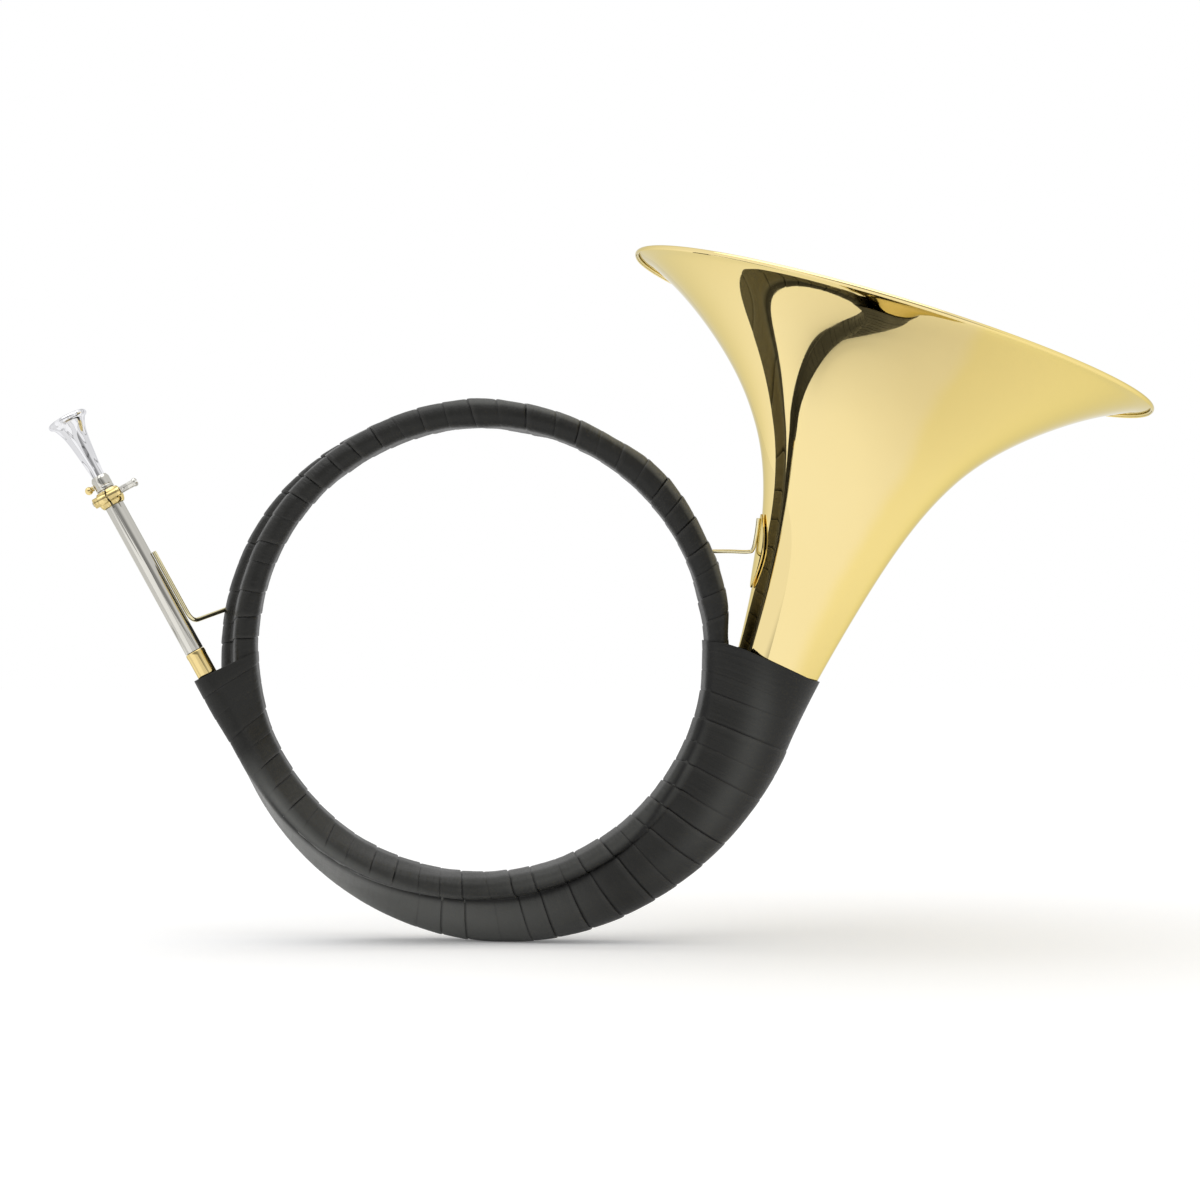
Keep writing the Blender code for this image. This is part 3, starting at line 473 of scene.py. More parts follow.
tone = mix_colours(hide, hide_grain["Patches"], (0.009, 0.009, 0.008), (0.019, 0.019, 0.017))
# The blackest colour is painted shade, in the seam clefts and along the groove. The grey is wear and a painted
# sheen. Each lap's far edge is lighter in patches.
for share, colour in (
    (multiply(hide, far_edge, seam), (0.042, 0.041, 0.038)),
    (wear_and_sheen, (0.13, 0.132, 0.125)),
    (painted_groove_shade, PAINTED_SHADE_BLACK),
    (multiply(hide, near_edge, seam), PAINTED_SHADE_BLACK),
):
    tone = mix_colours(hide, share, tone, colour)
pulled = add_node(hide, "Mapping", {"Vector": hide_strip, "Scale": (60.0, 5.0, 1.0)}).outputs[0]
hide_height = plus(hide, hide_grain["Height"], multiply(hide, noise(hide, pulled, 1.0, 4.0), 2.4))
hide_bump = add_node(hide, "Bump", {"Height": hide_height, "Distance": 0.0003, "Strength": 0.7})
hide_rough = ramp(hide, hide_grain["Patches"], 0.3, 0.7, 0.38, 0.50)
hide_look = {"Base Color": tone, "Roughness": hide_rough, "Normal": hide_bump.outputs[0]}
feed(hide, hide_shader.inputs, {**hide_look, "Specular IOR Level": 0.28})
print("leather:", LEATHER_BLACK.name)

# %% [markdown]
# ## Stage, light and camera
#
# The horn stands upright on a pale floor against white, and is seen from the front, square on. The
# light comes from a white room and one broad light above, as polished brass mirrors all that is around it.

# %% Floor: diffuse, so that it keeps the shadow, and lifted to white where it is seen or mirrored


def seen_or_mirrored(tree):
    """1 for a ray from the camera, off metal or through glass, and 0 for a ray that only lights."""
    rays = add_node(tree, "LightPath").outputs
    direct = calculate(tree, "MAXIMUM", rays["Is Camera Ray"], rays["Is Glossy Ray"])
    return calculate(tree, "MAXIMUM", direct, rays["Is Transmission Ray"])


floor = settle(add(bpy.ops.mesh.primitive_plane_add, "floor", size=8, location=(0, 0, CAD_BOX[0][2])))
floor_paint, floor_tree, floor_shader = new_material("pale floor")
lift = multiply(floor_tree, seen_or_mirrored(floor_tree), 0.13)
floor_look = {"Base Color": (0.94, 0.94, 0.94, 1), "Roughness": 0.9, "Specular IOR Level": 0.0}
floor_glow = {"Emission Color": (1, 1, 1, 1), "Emission Strength": lift}
feed(floor_tree, floor_shader.inputs, {**floor_look, **floor_glow})
floor.data.materials.append(floor_paint)
floor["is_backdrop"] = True
print("floor at", round(CAD_BOX[0][2] / MM, 1), "mm")

# %% World: white where it is seen or mirrored, softer where it lights, and dimmer in mirrors at the front
world = bpy.data.worlds.new("white room")
bpy.context.scene.world = world
world.use_nodes = True
room = world.node_tree
backdrop = room.nodes["Background"]
level = ramp(room, seen_or_mirrored(room), 0.0, 1.0, 0.62, 1.0)
towards = add_node(room, "TexCoord").outputs["Generated"]
front = add_node(room, "VectorMath", {0: towards, 1: (0.0, -1.0, 0.0)}, operation="DOT_PRODUCT")
dim_part = ramp(room, front.outputs["Value"], 0.60, 0.92, 0.0, 0.62, "SMOOTHSTEP")
mirrored = add_node(room, "LightPath").outputs["Is Glossy Ray"]
dimmed = plus(room, multiply(room, multiply(room, dim_part, mirrored), -1.0), 1.0)
feed(room, backdrop.inputs, {"Strength": multiply(room, level, dimmed), "Color": (1, 1, 1, 1)})
world.cycles.sampling_method = "NONE"
print("world:", world.name)

# %% One broad soft light from above
bpy.ops.object.light_add(type="SUN", location=(0, 0, 2), rotation=(radians(8), radians(-8), 0))
broad_light = bpy.context.active_object
broad_light.name = "broad_light"
broad_light.data.energy = 1.25
broad_light.data.angle = radians(70)
print("light:", broad_light.name, round(broad_light.data.energy, 2))

# %% Camera
bpy.ops.object.camera_add(location=(0.0589, -1.43, 0.0251), rotation=(radians(90), 0, 0))
camera = bpy.context.active_object
camera.data.lens = 85.8
camera.data.sensor_width = 36
bpy.context.scene.camera = camera
bpy.context.scene.view_settings.view_transform = "Standard"
print("camera:", tuple(round(value, 3) for value in camera.location))

# %% [markdown]
# ## The bell
#
# A real bell is cut from sheet brass, seamed, and spun and hammered over a mandrel. Its edge is then
# rolled outwards round a wire, which stiffens the thin sheet. Here a ring of corners starts at the
# narrow end and is extruded up the centre line. Each new ring is sized and turned to suit the flare, as
# the sheet is on the mandrel. The last rings roll over the edge, and Solidify gives the sheet its wall.

# %% The bell's inner profile, from the throat out over the rolled edge
BELL_WALL = 0.6 * MM
CURL_R = 1.3 * MM
CURL_DEPTH = 0.85 * MM
CURL_FROM = 206
RIM_R = 133.3 * MM
FLARE_END = 2.2 * MM
RING_STEP = 2.6 * MM


def inner_profile():
    """Distance and radius of each ring of the sheet's inner side, from the throat to the curl's end."""
    rings = []
    distance = BELL_DISTANCES[-1] - 0.3 * MM
    while distance > FLARE_END:
        slope = (bell_radius(distance - 0.5 * MM) - bell_radius(distance + 0.5 * MM)) / MM
        steep = math.hypot(1, slope)
        rings.append((distance - BELL_WALL * slope / steep, bell_radius(distance) - BELL_WALL / steep))
        distance -= RING_STEP / steep
    start, end = Vector(rings[-1]), radians(CURL_FROM)
    stop = Vector((CURL_DEPTH + CURL_R * cos(end), RIM_R + CURL_R * sin(end)))
    leave = (start - Vector(rings[-2])).normalized()
    arrive = Vector((sin(end), -cos(end)))
    span = (stop - start).length
    for u in (0.25, 0.5, 0.75, 0.92):
        rise, settle_in = 3 * u**2 - 2 * u**3, (u**3 - 2 * u**2 + u) * span
        point = start + (stop - start) * rise + leave * settle_in + arrive * (u**3 - u**2) * span
        rings.append((point.x, point.y))
    for degrees in range(CURL_FROM, 14, -16):
        turn = radians(degrees)
        rings.append((CURL_DEPTH + CURL_R * cos(turn), RIM_R + CURL_R * sin(turn)))
    return rings


PROFILE = inner_profile()
print(f"bell: {len(PROFILE)} rings, from {PROFILE[0][1] / MM:.1f} to {PROFILE[-1][1] / MM:.1f} mm in radius")

# %% Extrude the bell ring by ring
SIDES = 192


def ring_place(distance):
    """A ring's centre and lean. Above the rim the axis runs on straight."""
    if distance <= 0:
        return RIM_CENTRE - BELL_AXIS * distance, radians(RIM_LEAN)
    centre, direction = bell_centre(distance)
    return centre, math.atan2(direction.x, direction.z)


def ring(name, corners, radius, place, rotation):
    """A circle of corners to be extruded or spun, at its place."""
    sizes = {"vertices": corners, "radius": radius, "location": place, "rotation": rotation}
    return settle(add(bpy.ops.mesh.primitive_circle_add, name, **sizes))


centre, lean = ring_place(PROFILE[0][0])
radius = PROFILE[0][1]
bell = ring("bell_sheet", SIDES, radius, centre, (0, lean, 0))
with whole_mesh(bell):
    for distance, wider in PROFILE[1:]:
        following, next_lean = ring_place(distance)
        bpy.ops.mesh.extrude_region_move(TRANSFORM_OT_translate={"value": following - centre})
        bpy.ops.transform.resize(value=(wider / radius,) * 3, center_override=following)
        bpy.ops.transform.rotate(value=lean - next_lean, orient_axis="Y", center_override=following)
        centre, lean, radius = following, next_lean, wider
print("bell sheet:", len(bell.data.polygons), "faces")

# %% Turn the sheet's faces to the inside, and give it its wall
inner_face = SIDES * 20
face_towards(bell, inner_face, bell_centre(PROFILE[20][0])[0] - bell.data.polygons[inner_face].center)
finish_with(bell, "SOLIDIFY", thickness=BELL_WALL, offset=-1, use_even_offset=True)
dress(bell, "bell", BELL_BRASS, 40)

# %% The wire in the rolled edge: a small circle spun about the rim's axis
WIRE_R = 0.6 * MM
ring_centre = RIM_CENTRE - BELL_AXIS * CURL_DEPTH
edge_wire = ring("edge_wire", 16, WIRE_R, ring_centre + BELL_LEFT * RIM_R, (pi / 2, 0, 0))
with whole_mesh(edge_wire):
    bpy.ops.mesh.spin(steps=SIDES, angle=2 * pi, center=ring_centre, axis=BELL_AXIS)
heal(edge_wire)
dress(edge_wire, "rim_wire", BRASS, 60)

# %% [markdown]
# ## The leather
#
# The leather is one long black strip for each wrap, wound round all the tubes together like a grip
# tape, each turn lapped over the edge of the next. Pulled tight, it spans the tubes as a rubber band
# would, and where it is pressed in between them it leaves a soft groove. So the form follows from the
# tubes: at each angle of the ring their circles are cut across, and a band is laid round them. A grid
# is then wound along those bands on a screw line, with rows crowded where one lap steps down to the next.

# %% The tubes cut across at an angle of the ring
CAP_LEFT = 181.6
UPPER_END = 190.2
CAP_RIGHT = 362.4
TUCK = 6.0
LEATHER_CLEAR = 0.6 * MM
BARE_BELL = 100 * MM
FERRULE_RISE = 0.65 * MM
FERRULES = tuple(LEAD_ANGLE + degrees for degrees in (241.875, 635.625, 950.625))


def bell_crossing(corner, across):
    """Where the bell's centre line passes through a plane across the ring."""
    low, high = BARE_BELL, BELL_DISTANCES[-1]
    for _ in range(24):
        middle = (low + high) / 2
        if (bell_centre(middle)[0] - corner).dot(across) > 0:
            low = middle
        else:
            high = middle
    return bell_centre(low)[0], bell_radius(low)


def tubes_at(angle, lean, with_lead):
    """The tubes at an angle, as (outwards, depth, radius) from the ring's own radius. The widest is last."""
    corner, out, across = polar(COIL_R, angle, 0), polar(1, angle + lean, 0), polar(1, angle + lean + 90, 0)
    found = []
    if with_lead and angle < LEAD_ANGLE + 1:
        run = LEAD_UP.dot(across)
        distance = (corner - lead_point(0)).dot(across) / run
        if 0 <= distance < SLEEVE_FROM:
            place = lead_point(distance)
            found.append(((place - corner).dot(out), place.y, LEAD_FERRULE_R))
    for turn in range(4):
        at = angle + 360 * turn
        if at < LEAD_ANGLE:
            continue
        for _ in range(4):
            place, radius = wound(min(at, BELL_END_ANGLE - 0.01))
            at -= math.degrees((place - corner).dot(across) / COIL_R)
        if at > BELL_END_ANGLE - 1:
            place, radius = bell_crossing(corner, across)
        nearest = min(abs(at - middle) for middle in FERRULES)
        radius += FERRULE_RISE * (1 - ease(nearest, 3.5, 6))
        found.append(((place - corner).dot(out), place.y, radius))
    return found


print("tubes at the bottom of the ring:", len(tubes_at(270, 0, True)))

# %% A band laid tight round those circles
NORMAL_TURNS = np.radians(np.arange(0, 360, 2.5))
NORMALS = np.stack([np.cos(NORMAL_TURNS), np.sin(NORMAL_TURNS)], axis=1)
RAY_TURNS = np.radians(np.arange(0, 360, 1.5))
RAYS = np.stack([np.cos(RAY_TURNS), np.sin(RAY_TURNS)], axis=1)
ROUND = 120
GROWN = 1.012
CORNER_ROOM = 2.5 * MM


def exits(rounds, origin):
    """How far each ray runs from the origin until it leaves a tight loop round circles."""
    rounds = np.array(rounds)
    reach = (NORMALS @ rounds[:, :2].T + rounds[:, 2]).max(axis=1) - NORMALS @ origin
    facing = NORMALS @ RAYS.T
    facing[np.abs(facing) < 1e-6] = 1e-6
    crossing = reach[:, None] / facing
    far = np.where(facing > 0, crossing, np.inf).min(axis=0)
    near = np.where(facing < 0, crossing, -np.inf).max(axis=0)
    return np.where(far > np.maximum(near, 0), far, 0)


def band(angle, lean, fill, extra, with_lead):
    """ROUND + 1 points on a band round the tubes, sunk between the widest and the others where fill is low."""
    grown = [(x, y, radius * GROWN + extra) for x, y, radius in tubes_at(angle, lean, with_lead)]
    if angle > 300:
        x, y, radius = grown[-1]
        grown[-1] = (x, y, radius - max(extra - LEATHER_CLEAR, 0))
    big, small = grown[-1], grown[:-1]
    origin = (np.mean([spot[:2] for spot in small], axis=0) + np.array(big[:2])) / 2
    sunk = np.maximum(exits(small, origin), exits([big], origin))
    loop = origin + RAYS * (sunk + fill * (exits(grown, origin) - sunk))[:, None]
    sides = np.roll(loop, -1, axis=0) - loop
    before = np.roll(sides, 1, axis=0)
    turned_by = before[:, 0] * sides[:, 1] - before[:, 1] * sides[:, 0]
    bends = np.abs(np.arctan2(turned_by, (before * sides).sum(axis=1)))
    steps = np.linalg.norm(sides, axis=1) + CORNER_ROOM * (bends + np.roll(bends, -1))
    run = np.concatenate([[0], np.cumsum(steps)])
    stops = np.linspace(0, run[-1], ROUND + 1)
    closed = np.vstack([loop, loop[:1]])
    return np.stack([np.interp(stops, run, closed[:, k]) for k in range(2)], axis=1)


print("band:", band(90, 0, 1, 1 * MM, False).shape)

# %% Bands all along a wrap, softened a little
BAND_STEP = 1.2


def soften(table, passes, axis):
    """Evens out a table of bands, along the ring or round the band."""
    for _ in range(passes):
        if axis == 0:
            table[1:-1] = (table[:-2] + 2 * table[1:-1] + table[2:]) / 4
        else:
            core = table[:, :-1]
            core = (np.roll(core, 1, axis=1) + 2 * core + np.roll(core, -1, axis=1)) / 4
            table = np.concatenate([core, core[:, :1]], axis=1)
    return table


def band_table(start, end, lean_at, fill_at, extra_at, with_lead):
    """The bands from start to end, their outward normals, and the angles they stand at."""
    angles = np.linspace(start, end, int((end - start) / BAND_STEP) + 1)
    table = np.array([
        band(angle, lean_at(angle), fill_at(angle), LEATHER_CLEAR + extra_at(angle), with_lead)
        for angle in angles.tolist()
    ])
    table = soften(soften(table, 3, 0), 3, 1)
    tangent = np.roll(table[:, :-1], -1, axis=1) - np.roll(table[:, :-1], 1, axis=1)
    tangent = np.concatenate([tangent, tangent[:, :1]], axis=1)
    normal = np.stack([tangent[:, :, 1], -tangent[:, :, 0]], axis=2)
    return angles, table, normal / np.linalg.norm(normal, axis=2)[:, :, None]


print("bands:", len(band_table(80, 100, lambda at: 0, lambda at: 1, lambda at: 0, False)[0]), "for 20 degrees")

# %% One lap's rise, as (share of the strip's width, height above the tubes' band in millimetres)
LAP_SHAPE = (
    (0.0, 0.12), (0.025, 0.14), (0.05, 0.34), (0.08, 0.50), (0.14, 0.58), (0.24, 0.62), (0.36, 0.66),
    (0.48, 0.70), (0.60, 0.74), (0.72, 0.79), (0.82, 0.84), (0.90, 0.87), (0.95, 0.86), (0.985, 0.72),
)
LAP_ROWS = len(LAP_SHAPE)


def wander(rng, count, size):
    """A smooth irregular line with one value for each tenth of a turn of the strip."""
    rough = rng.normal(0, 1, count * 10 + 20)
    kernel = np.hanning(9)
    line = np.convolve(rough, kernel / kernel.sum(), mode="same")
    return size * line / line.std()


print(LAP_ROWS, "rows for each lap")

# %% Wind the strip
BACK_ROWS = 34
STRIP_WIDTHS = (0.86, 1.14)


def lap_rows(rng, strips, edges):
    """The outer side's rows of laps: their angles, heights, and how deep each seam is at each point."""
    shares, rises = np.array(LAP_SHAPE).T
    drift = wander(rng, strips + 3, 0.055)
    swell = np.clip(0.80 + wander(rng, strips + 3, 0.30), 0.15, 1.15)
    share, rise = (np.tile(row, strips + 2)[:, None] for row in (shares, rises))
    along_strip = np.repeat(np.arange(-1, strips + 1), LAP_ROWS)[:, None] + np.linspace(0, 1, ROUND + 1)
    tenth = (along_strip + 1.5) * 10
    here, after = (np.interp(tenth + shift, np.arange(len(drift)), drift) for shift in (0, 10))
    phase = along_strip + share + here * (1 - share) + after * share
    at_seam = np.interp(tenth + 10 * (share > 0.5), np.arange(len(swell)), swell)
    within = (phase > 0) & (phase < strips)
    return np.interp(phase, np.arange(strips + 1), edges), np.where(within, rise, 0), at_seam


def strip_map(piece, outer_rows):
    """Maps the strip: along it in metres, and across it from 0 to 1."""
    corners = np.empty(len(piece.data.loops), dtype=int)
    piece.data.loops.foreach_get("vertex_index", corners)
    row, col = np.divmod(corners.reshape(-1, 4), ROUND + 1)
    first = np.repeat(row.min(axis=1)[:, None], 4, axis=1)
    lap, step = np.divmod(first, LAP_ROWS)
    across = np.array([share for share, _ in LAP_SHAPE] + [1.0])[step + row - first]
    outer = first < outer_rows - 1
    uv = np.stack([np.where(outer, (lap + col / ROUND) * 0.1, 0.0), np.where(outer, across, 0.5)], axis=2)
    layers = piece.data.uv_layers
    layer = layers[0] if layers else layers.new()
    layer.name = "strip"
    layer.data.foreach_set("uv", uv.reshape(-1))


def wound_leather(
    name, replaced, ends, width, seed, form, seam_at, wear_and_sheen_at, shift_at=None, fold_at=None, groove=(), bumps=()
):
    """A wrap of lapped strip, each lap some degrees wide, closed at both ends and on its inner side."""
    rng = np.random.default_rng(seed)
    start, end = ends
    angles, table, normal = band_table(start, end, *form)
    strips = round((end - start) / width)
    widths = rng.uniform(*STRIP_WIDTHS, strips)
    edges = start + np.concatenate([[0], np.cumsum(widths)]) / widths.sum() * (end - start)
    at, rise, at_seam = lap_rows(rng, strips, edges)
    outer_rows = len(at)

    # Inner side: plain bands from the end back to the start
    back = np.linspace(end, start, BACK_ROWS)
    at = np.vstack([at, np.repeat(back[:, None], ROUND + 1, axis=1), at[:1]])

    def between_bands(source):
        spot = np.clip((at - angles[0]) / (angles[1] - angles[0]), 0, len(angles) - 1.000001)
        low = spot.astype(int)
        part, column = (spot - low)[:, :, None], np.arange(ROUND + 1)[None, :]
        return source[low, column] * (1 - part) + source[low + 1, column] * part

    if shift_at:
        at = at + shift_at(at, between_bands(table)[:, :, 0])
    flat, outward = between_bands(table), between_bands(normal)
    leans = np.interp(at, angles, [form[0](angle) for angle in angles.tolist()])
    turn, tip = np.radians(at), np.radians(at + leans)

    def placed(offset):
        local = flat + outward * offset[:, :, None]
        x = COIL_R * np.cos(turn) + np.cos(tip) * local[:, :, 0]
        z = COIL_R * np.sin(turn) + np.sin(tip) * local[:, :, 0]
        return np.stack([x, local[:, :, 1], z], axis=2)

    # Heights over the tubes: laps with their seams, then bumps, folds and the groove
    depth = at_seam * seam_at(at[:outer_rows], flat[:outer_rows])
    height = np.where(rise > 0, 0.60 + (rise - 0.60) * depth, 0.5) * MM
    height = np.vstack([height, np.zeros((len(back), ROUND + 1)), height[:1]])
    depth = np.vstack([depth, np.zeros((len(back) + 1, ROUND + 1))])
    spots = placed(height)
    for centre, size, lift in bumps:
        away = np.linalg.norm(spots - np.array(centre) * MM, axis=2)
        height = height + lift * MM * np.exp(-((away / (size * MM)) ** 2)) * (height > 0.1 * MM)
    if fold_at:
        height = height + fold_at(at) * np.clip(outward[:, :, 0], 0, 1) ** 2 * (height > 0.1 * MM)
    # Painted shade in the groove: darker along the groove line where the leather faces the front
    painted_groove_shade = np.zeros_like(height)
    if groove:
        turns_at, radii, presses, painted_shade_tones = np.array(groove).T
        off_line = np.hypot(spots[:, :, 0], spots[:, :, 2]) / MM - np.interp(at, turns_at, radii)
        facing = np.clip(-outward[:, :, 1] * 2, 0, 1) * (height > 0.1 * MM)
        height = height - np.interp(at, turns_at, presses) * MM * facing * np.exp(-((off_line / 1.3) ** 2))
        painted_groove_shade = np.interp(at, turns_at, painted_shade_tones) * facing * np.exp(-((off_line / 1.5) ** 2))

    cells = {"x_subdivisions": ROUND, "y_subdivisions": len(at) - 1}
    piece = add(bpy.ops.mesh.primitive_grid_add, name, size=0.1, **cells)
    piece.data.vertices.foreach_set("co", placed(height).reshape(-1))
    # Wear and painted sheen, stronger where the leather faces the front
    wear_and_sheen = wear_and_sheen_at(at, flat) * np.clip(0.9 - outward[:, :, 1] * 2, 0, 1)
    for label, values in zip(SKIN_NAMES, (depth, wear_and_sheen, painted_groove_shade)):
        skin = piece.data.attributes.new(label, "FLOAT", "POINT")
        skin.data.foreach_set("value", np.clip(values, 0, 1).reshape(-1))
    strip_map(piece, outer_rows)
    heal(piece)
    dress(piece, replaced, LEATHER_BLACK, 50)
    print(strips, "laps")


# %% The lower wrap takes in the leadpipe on the left and the bell's throat on the right


def lower_lean(angle):
    """The lower wrap's sections lean into line with leadpipe and bell at its ends."""
    return -RIM_LEAN * ease(angle, 318, CAP_RIGHT) + 24.6 * (1 - ease(angle, CAP_LEFT, 220))


def lower_fill(angle):
    """How far the strip bridges the groove beside the branch."""
    return 1 - 0.6 * ease(angle, 236, 266) + 0.6 * ease(angle, 285, 345)


def lower_extra(angle):
    """Room for the upper wrap's ends under the lower one."""
    near_left = 1 - ease(angle, UPPER_END, UPPER_END + 9)
    near_right = ease(angle, CAP_RIGHT - TUCK - 9, CAP_RIGHT - TUCK)
    return 0.2 * MM + max(1.1 * near_right, 0.95 * near_left) * MM


def lower_seam(at, flat):
    """How deep the seams are: they all but vanish along the branch at the lower left, and fade on the tail."""
    out = flat[:, :, 0] / MM
    along_branch = np.interp(at, (196, 204, 252, 268), (0, 1, 1, 0)) * np.interp(out, (3.0, 6.0), (0, 1))
    on_tail = np.interp(at, (318, 335), (0, 1)) * np.interp(out, (14, 30), (0, 1))
    at_cap = np.interp(at, (184, 196), (1, 0)) + np.interp(at, (346, 354), (0, 1))
    return 1 - np.clip(0.9 * along_branch + 0.45 * on_tail + 0.7 * at_cap, 0, 0.92)


def lower_wear_and_sheen(at, flat):
    """Where the leather is painted grey: wear and a painted sheen along the branch, lighter at the bottom of
    the inner band, and a painted highlight down the tail.
    """
    out = flat[:, :, 0] / MM
    branch = np.interp(at, (202, 216, 262, 300), (0, 1, 0.9, 0)) * np.interp(out, (3, 7, 12), (0.15, 0.9, 1))
    tail = np.interp(at, (300, 325, 352, 360), (0, 0.30, 0.30, 0.1)) * np.exp(-(((out - 24) / 7) ** 2))
    inner = np.interp(at, (268, 285, 330, 345), (0, 0.35, 0.35, 0)) * np.interp(out, (-4, 0, 3), (0.6, 1, 0))
    return branch + tail + inner


def right_edge(at, flat_out):
    """The cut edge over the throat slants down towards the outside of the bell."""
    out = flat_out / MM
    slant = np.interp(out, (-10, 4, 14, 50), (-2.2, -0.3, -0.8, -7.2))
    return np.degrees(slant / (COIL_R / MM + out)) * np.interp(at, (350, CAP_RIGHT), (0, 1))


# The groove beside the inner band, on over the tail: ring angle, radius, how far pressed in, how dark its
# painted shade is
GROOVE = (
    (208, 128.2, 0.0, 0.0), (216, 127.9, 0.5, 0.8), (230, 127.5, 0.8, 1.0), (248, 126.0, 0.7, 1.0),
    (268, 125.0, 0.2, 1.0), (282, 124.6, 0.1, 0.9), (298, 122.9, 0.0, 0.8), (309, 120.6, 0.3, 0.8),
    (320, 116.9, 0.5, 0.9), (331, 115.4, 0.5, 0.9), (341, 115.2, 0.5, 0.9), (350, 114.3, 0.4, 0.8),
    (360, 113.9, 0.2, 0.5),
)
lower_form = (lower_lean, lower_fill, lower_extra, True)
wound_leather(
    "lower_wrap", "lower_leather", (CAP_LEFT, CAP_RIGHT), 5.9, 11, lower_form, lower_seam, lower_wear_and_sheen,
    shift_at=right_edge, groove=GROOVE,
)

# %% The upper wrap runs on under both ends of the lower one


def upper_fill(angle):
    """How far the strip bridges the groove beside the branch, over the top."""
    return 1 - 0.4 * ease(angle, 110, 140)


def upper_extra(angle):
    """The upper wrap stands off from the tubes, but less so under the lower wrap's edges."""
    return MM * (0.8 * ease(angle, 5, 14) - 0.3 * ease(angle, 130, 165) - 0.45 * ease(angle, 170, 182))


def upper_fold(at):
    """How far the strip's doubled outer edge stands out, most at the upper right."""
    angles = (4, 10, 28, 36, 43, 50, 58, 100, 114, 124)
    return MM * np.interp(at, angles, (0, 1.3, 1.3, 2.1, 2.8, 2.4, 0.9, 1.0, 0.4, 0))


def upper_wear_and_sheen(at, flat):
    """The outer edge at the upper right is painted grey, for wear and a painted sheen."""
    out = flat[:, :, 0] / MM
    return np.interp(at, (8, 16, 60, 90, 125), (0, 0.8, 1, 0.5, 0)) * np.interp(out, (3.2, 4.6), (0, 1))


def upper_seam(at, flat):
    """The upper wrap's seams are plain to see all round, but a little fainter at its right end."""
    return np.interp(at, (0, 20), (0.6, 1.0))


# Knots and folds under the strip: where the bell's brace comes out, above it, and at the leadpipe's brace
UPPER_BUMPS = (((118.5, -4, 45.6), 4.5, 1.3), ((83.2, -3, 97.8), 5.0, 1.0), ((-129.0, 4, 20.4), 4.5, 1.1))
upper_ends = (CAP_RIGHT - 360 - TUCK, UPPER_END)
upper_form = (lambda angle: 0, upper_fill, upper_extra, False)
wound_leather(
    "upper_wrap", "upper_leather", upper_ends, 6.0, 5, upper_form, upper_seam, upper_wear_and_sheen,
    fold_at=upper_fold, bumps=UPPER_BUMPS,
)

# %% [markdown]
# ## Turned pieces of the leadpipe
#
# Sleeve, ferrule, collar, clamp, screws and mouthpiece are turned on a lathe. In Blender the lathe is
# Spin: half of the outline is drawn with extrusions and swept round the axis. The pieces are made
# upright and then leaned onto the leadpipe's axis. Edges that catch the light get a small bevel, as no
# turned edge is perfectly sharp.

# %% A lathe


def turned(name, profile, steps=96, round_edges=0.12):
    """A closed body turned about Z from (height, radius) corners in millimetres, upright at the origin."""
    place, *others = [Vector((radius * MM, 0, height * MM)) for height, radius in profile]
    piece = add(bpy.ops.mesh.primitive_plane_add, name, size=MM, location=place)
    settle(piece)
    with whole_mesh(piece):
        bpy.ops.mesh.merge(type="CENTER")
        for corner in (*others, place.copy()):
            if (corner - place).length > 1e-7:
                bpy.ops.mesh.extrude_region_move(TRANSFORM_OT_translate={"value": corner - place})
            place = corner
        bpy.ops.mesh.select_all(action="SELECT")
        bpy.ops.mesh.spin(steps=steps, angle=2 * pi, center=(0, 0, 0), axis=(0, 0, 1))
    heal(piece)
    if round_edges:
        bevel(piece, round_edges, 2, 28)
    return piece


def bevel(piece, width, segments, degrees):
    """Rounds the edges that are sharper than this, by a width in millimetres."""
    sharp = radians(degrees)
    finish_with(piece, "BEVEL", width=width * MM, segments=segments, limit_method="ANGLE", angle_limit=sharp)


def block(name, place, size):
    """A block to cut with. Its place and size are in millimetres."""
    in_metres = ([value * MM for value in row] for row in (place, size))
    return add(bpy.ops.mesh.primitive_cube_add, name, size=1, **dict(zip(("location", "scale"), in_metres)))


def rod(name, radius, length, place, turn):
    """A round rod about a place, all in millimetres, and turned about Y."""
    sizes = {"radius": radius * MM, "depth": length * MM, "location": [value * MM for value in place]}
    return add(
        bpy.ops.mesh.primitive_cylinder_add, name, vertices=64, rotation=(0, radians(turn), 0), **sizes
    )


def cut(piece, cutter, operation="DIFFERENCE"):
    """Joins a shape to a piece or takes it out, and puts the cutter away."""
    finish_with(piece, "BOOLEAN", object=cutter, operation=operation, solver="EXACT")
    bpy.data.objects.remove(cutter)
    return piece


def stand(piece, turn, place):
    """Turns an upright piece about Y and puts it in its place."""
    piece.rotation_euler = (0, turn, 0)
    piece.location = place
    settle(piece)


def on_leadpipe(piece, replaced, material, degrees=35, body="horn_body"):
    """Leans an upright piece onto the leadpipe's axis, and gives it its finish and body."""
    stand(piece, LEAD_TURN, LEAD_FOOT)
    dress(piece, replaced, material, degrees, body)


# %% The sleeve, with the slit that lets the clamp close it
sleeve = turned("sleeve", ((68.2, 4.75), (157.3, 4.75), (157.3, 4.2), (68.2, 4.2)))
slit = block("slit", (0, -6, 156), (0.9, 12, 14))
on_leadpipe(cut(sleeve, slit), "outer_sleeve", NICKEL_SILVER)

# %% The ferrule between the sleeve and the leather
ferrule = turned(
    "ferrule", ((44, 4.85), (65.2, 4.85), (65.8, 5.0), (67.2, 5.0), (67.9, 4.8), (67.9, 4.3), (44, 4.3))
)
on_leadpipe(ferrule, "leadpipe_ferrule", YELLOW_BRASS)

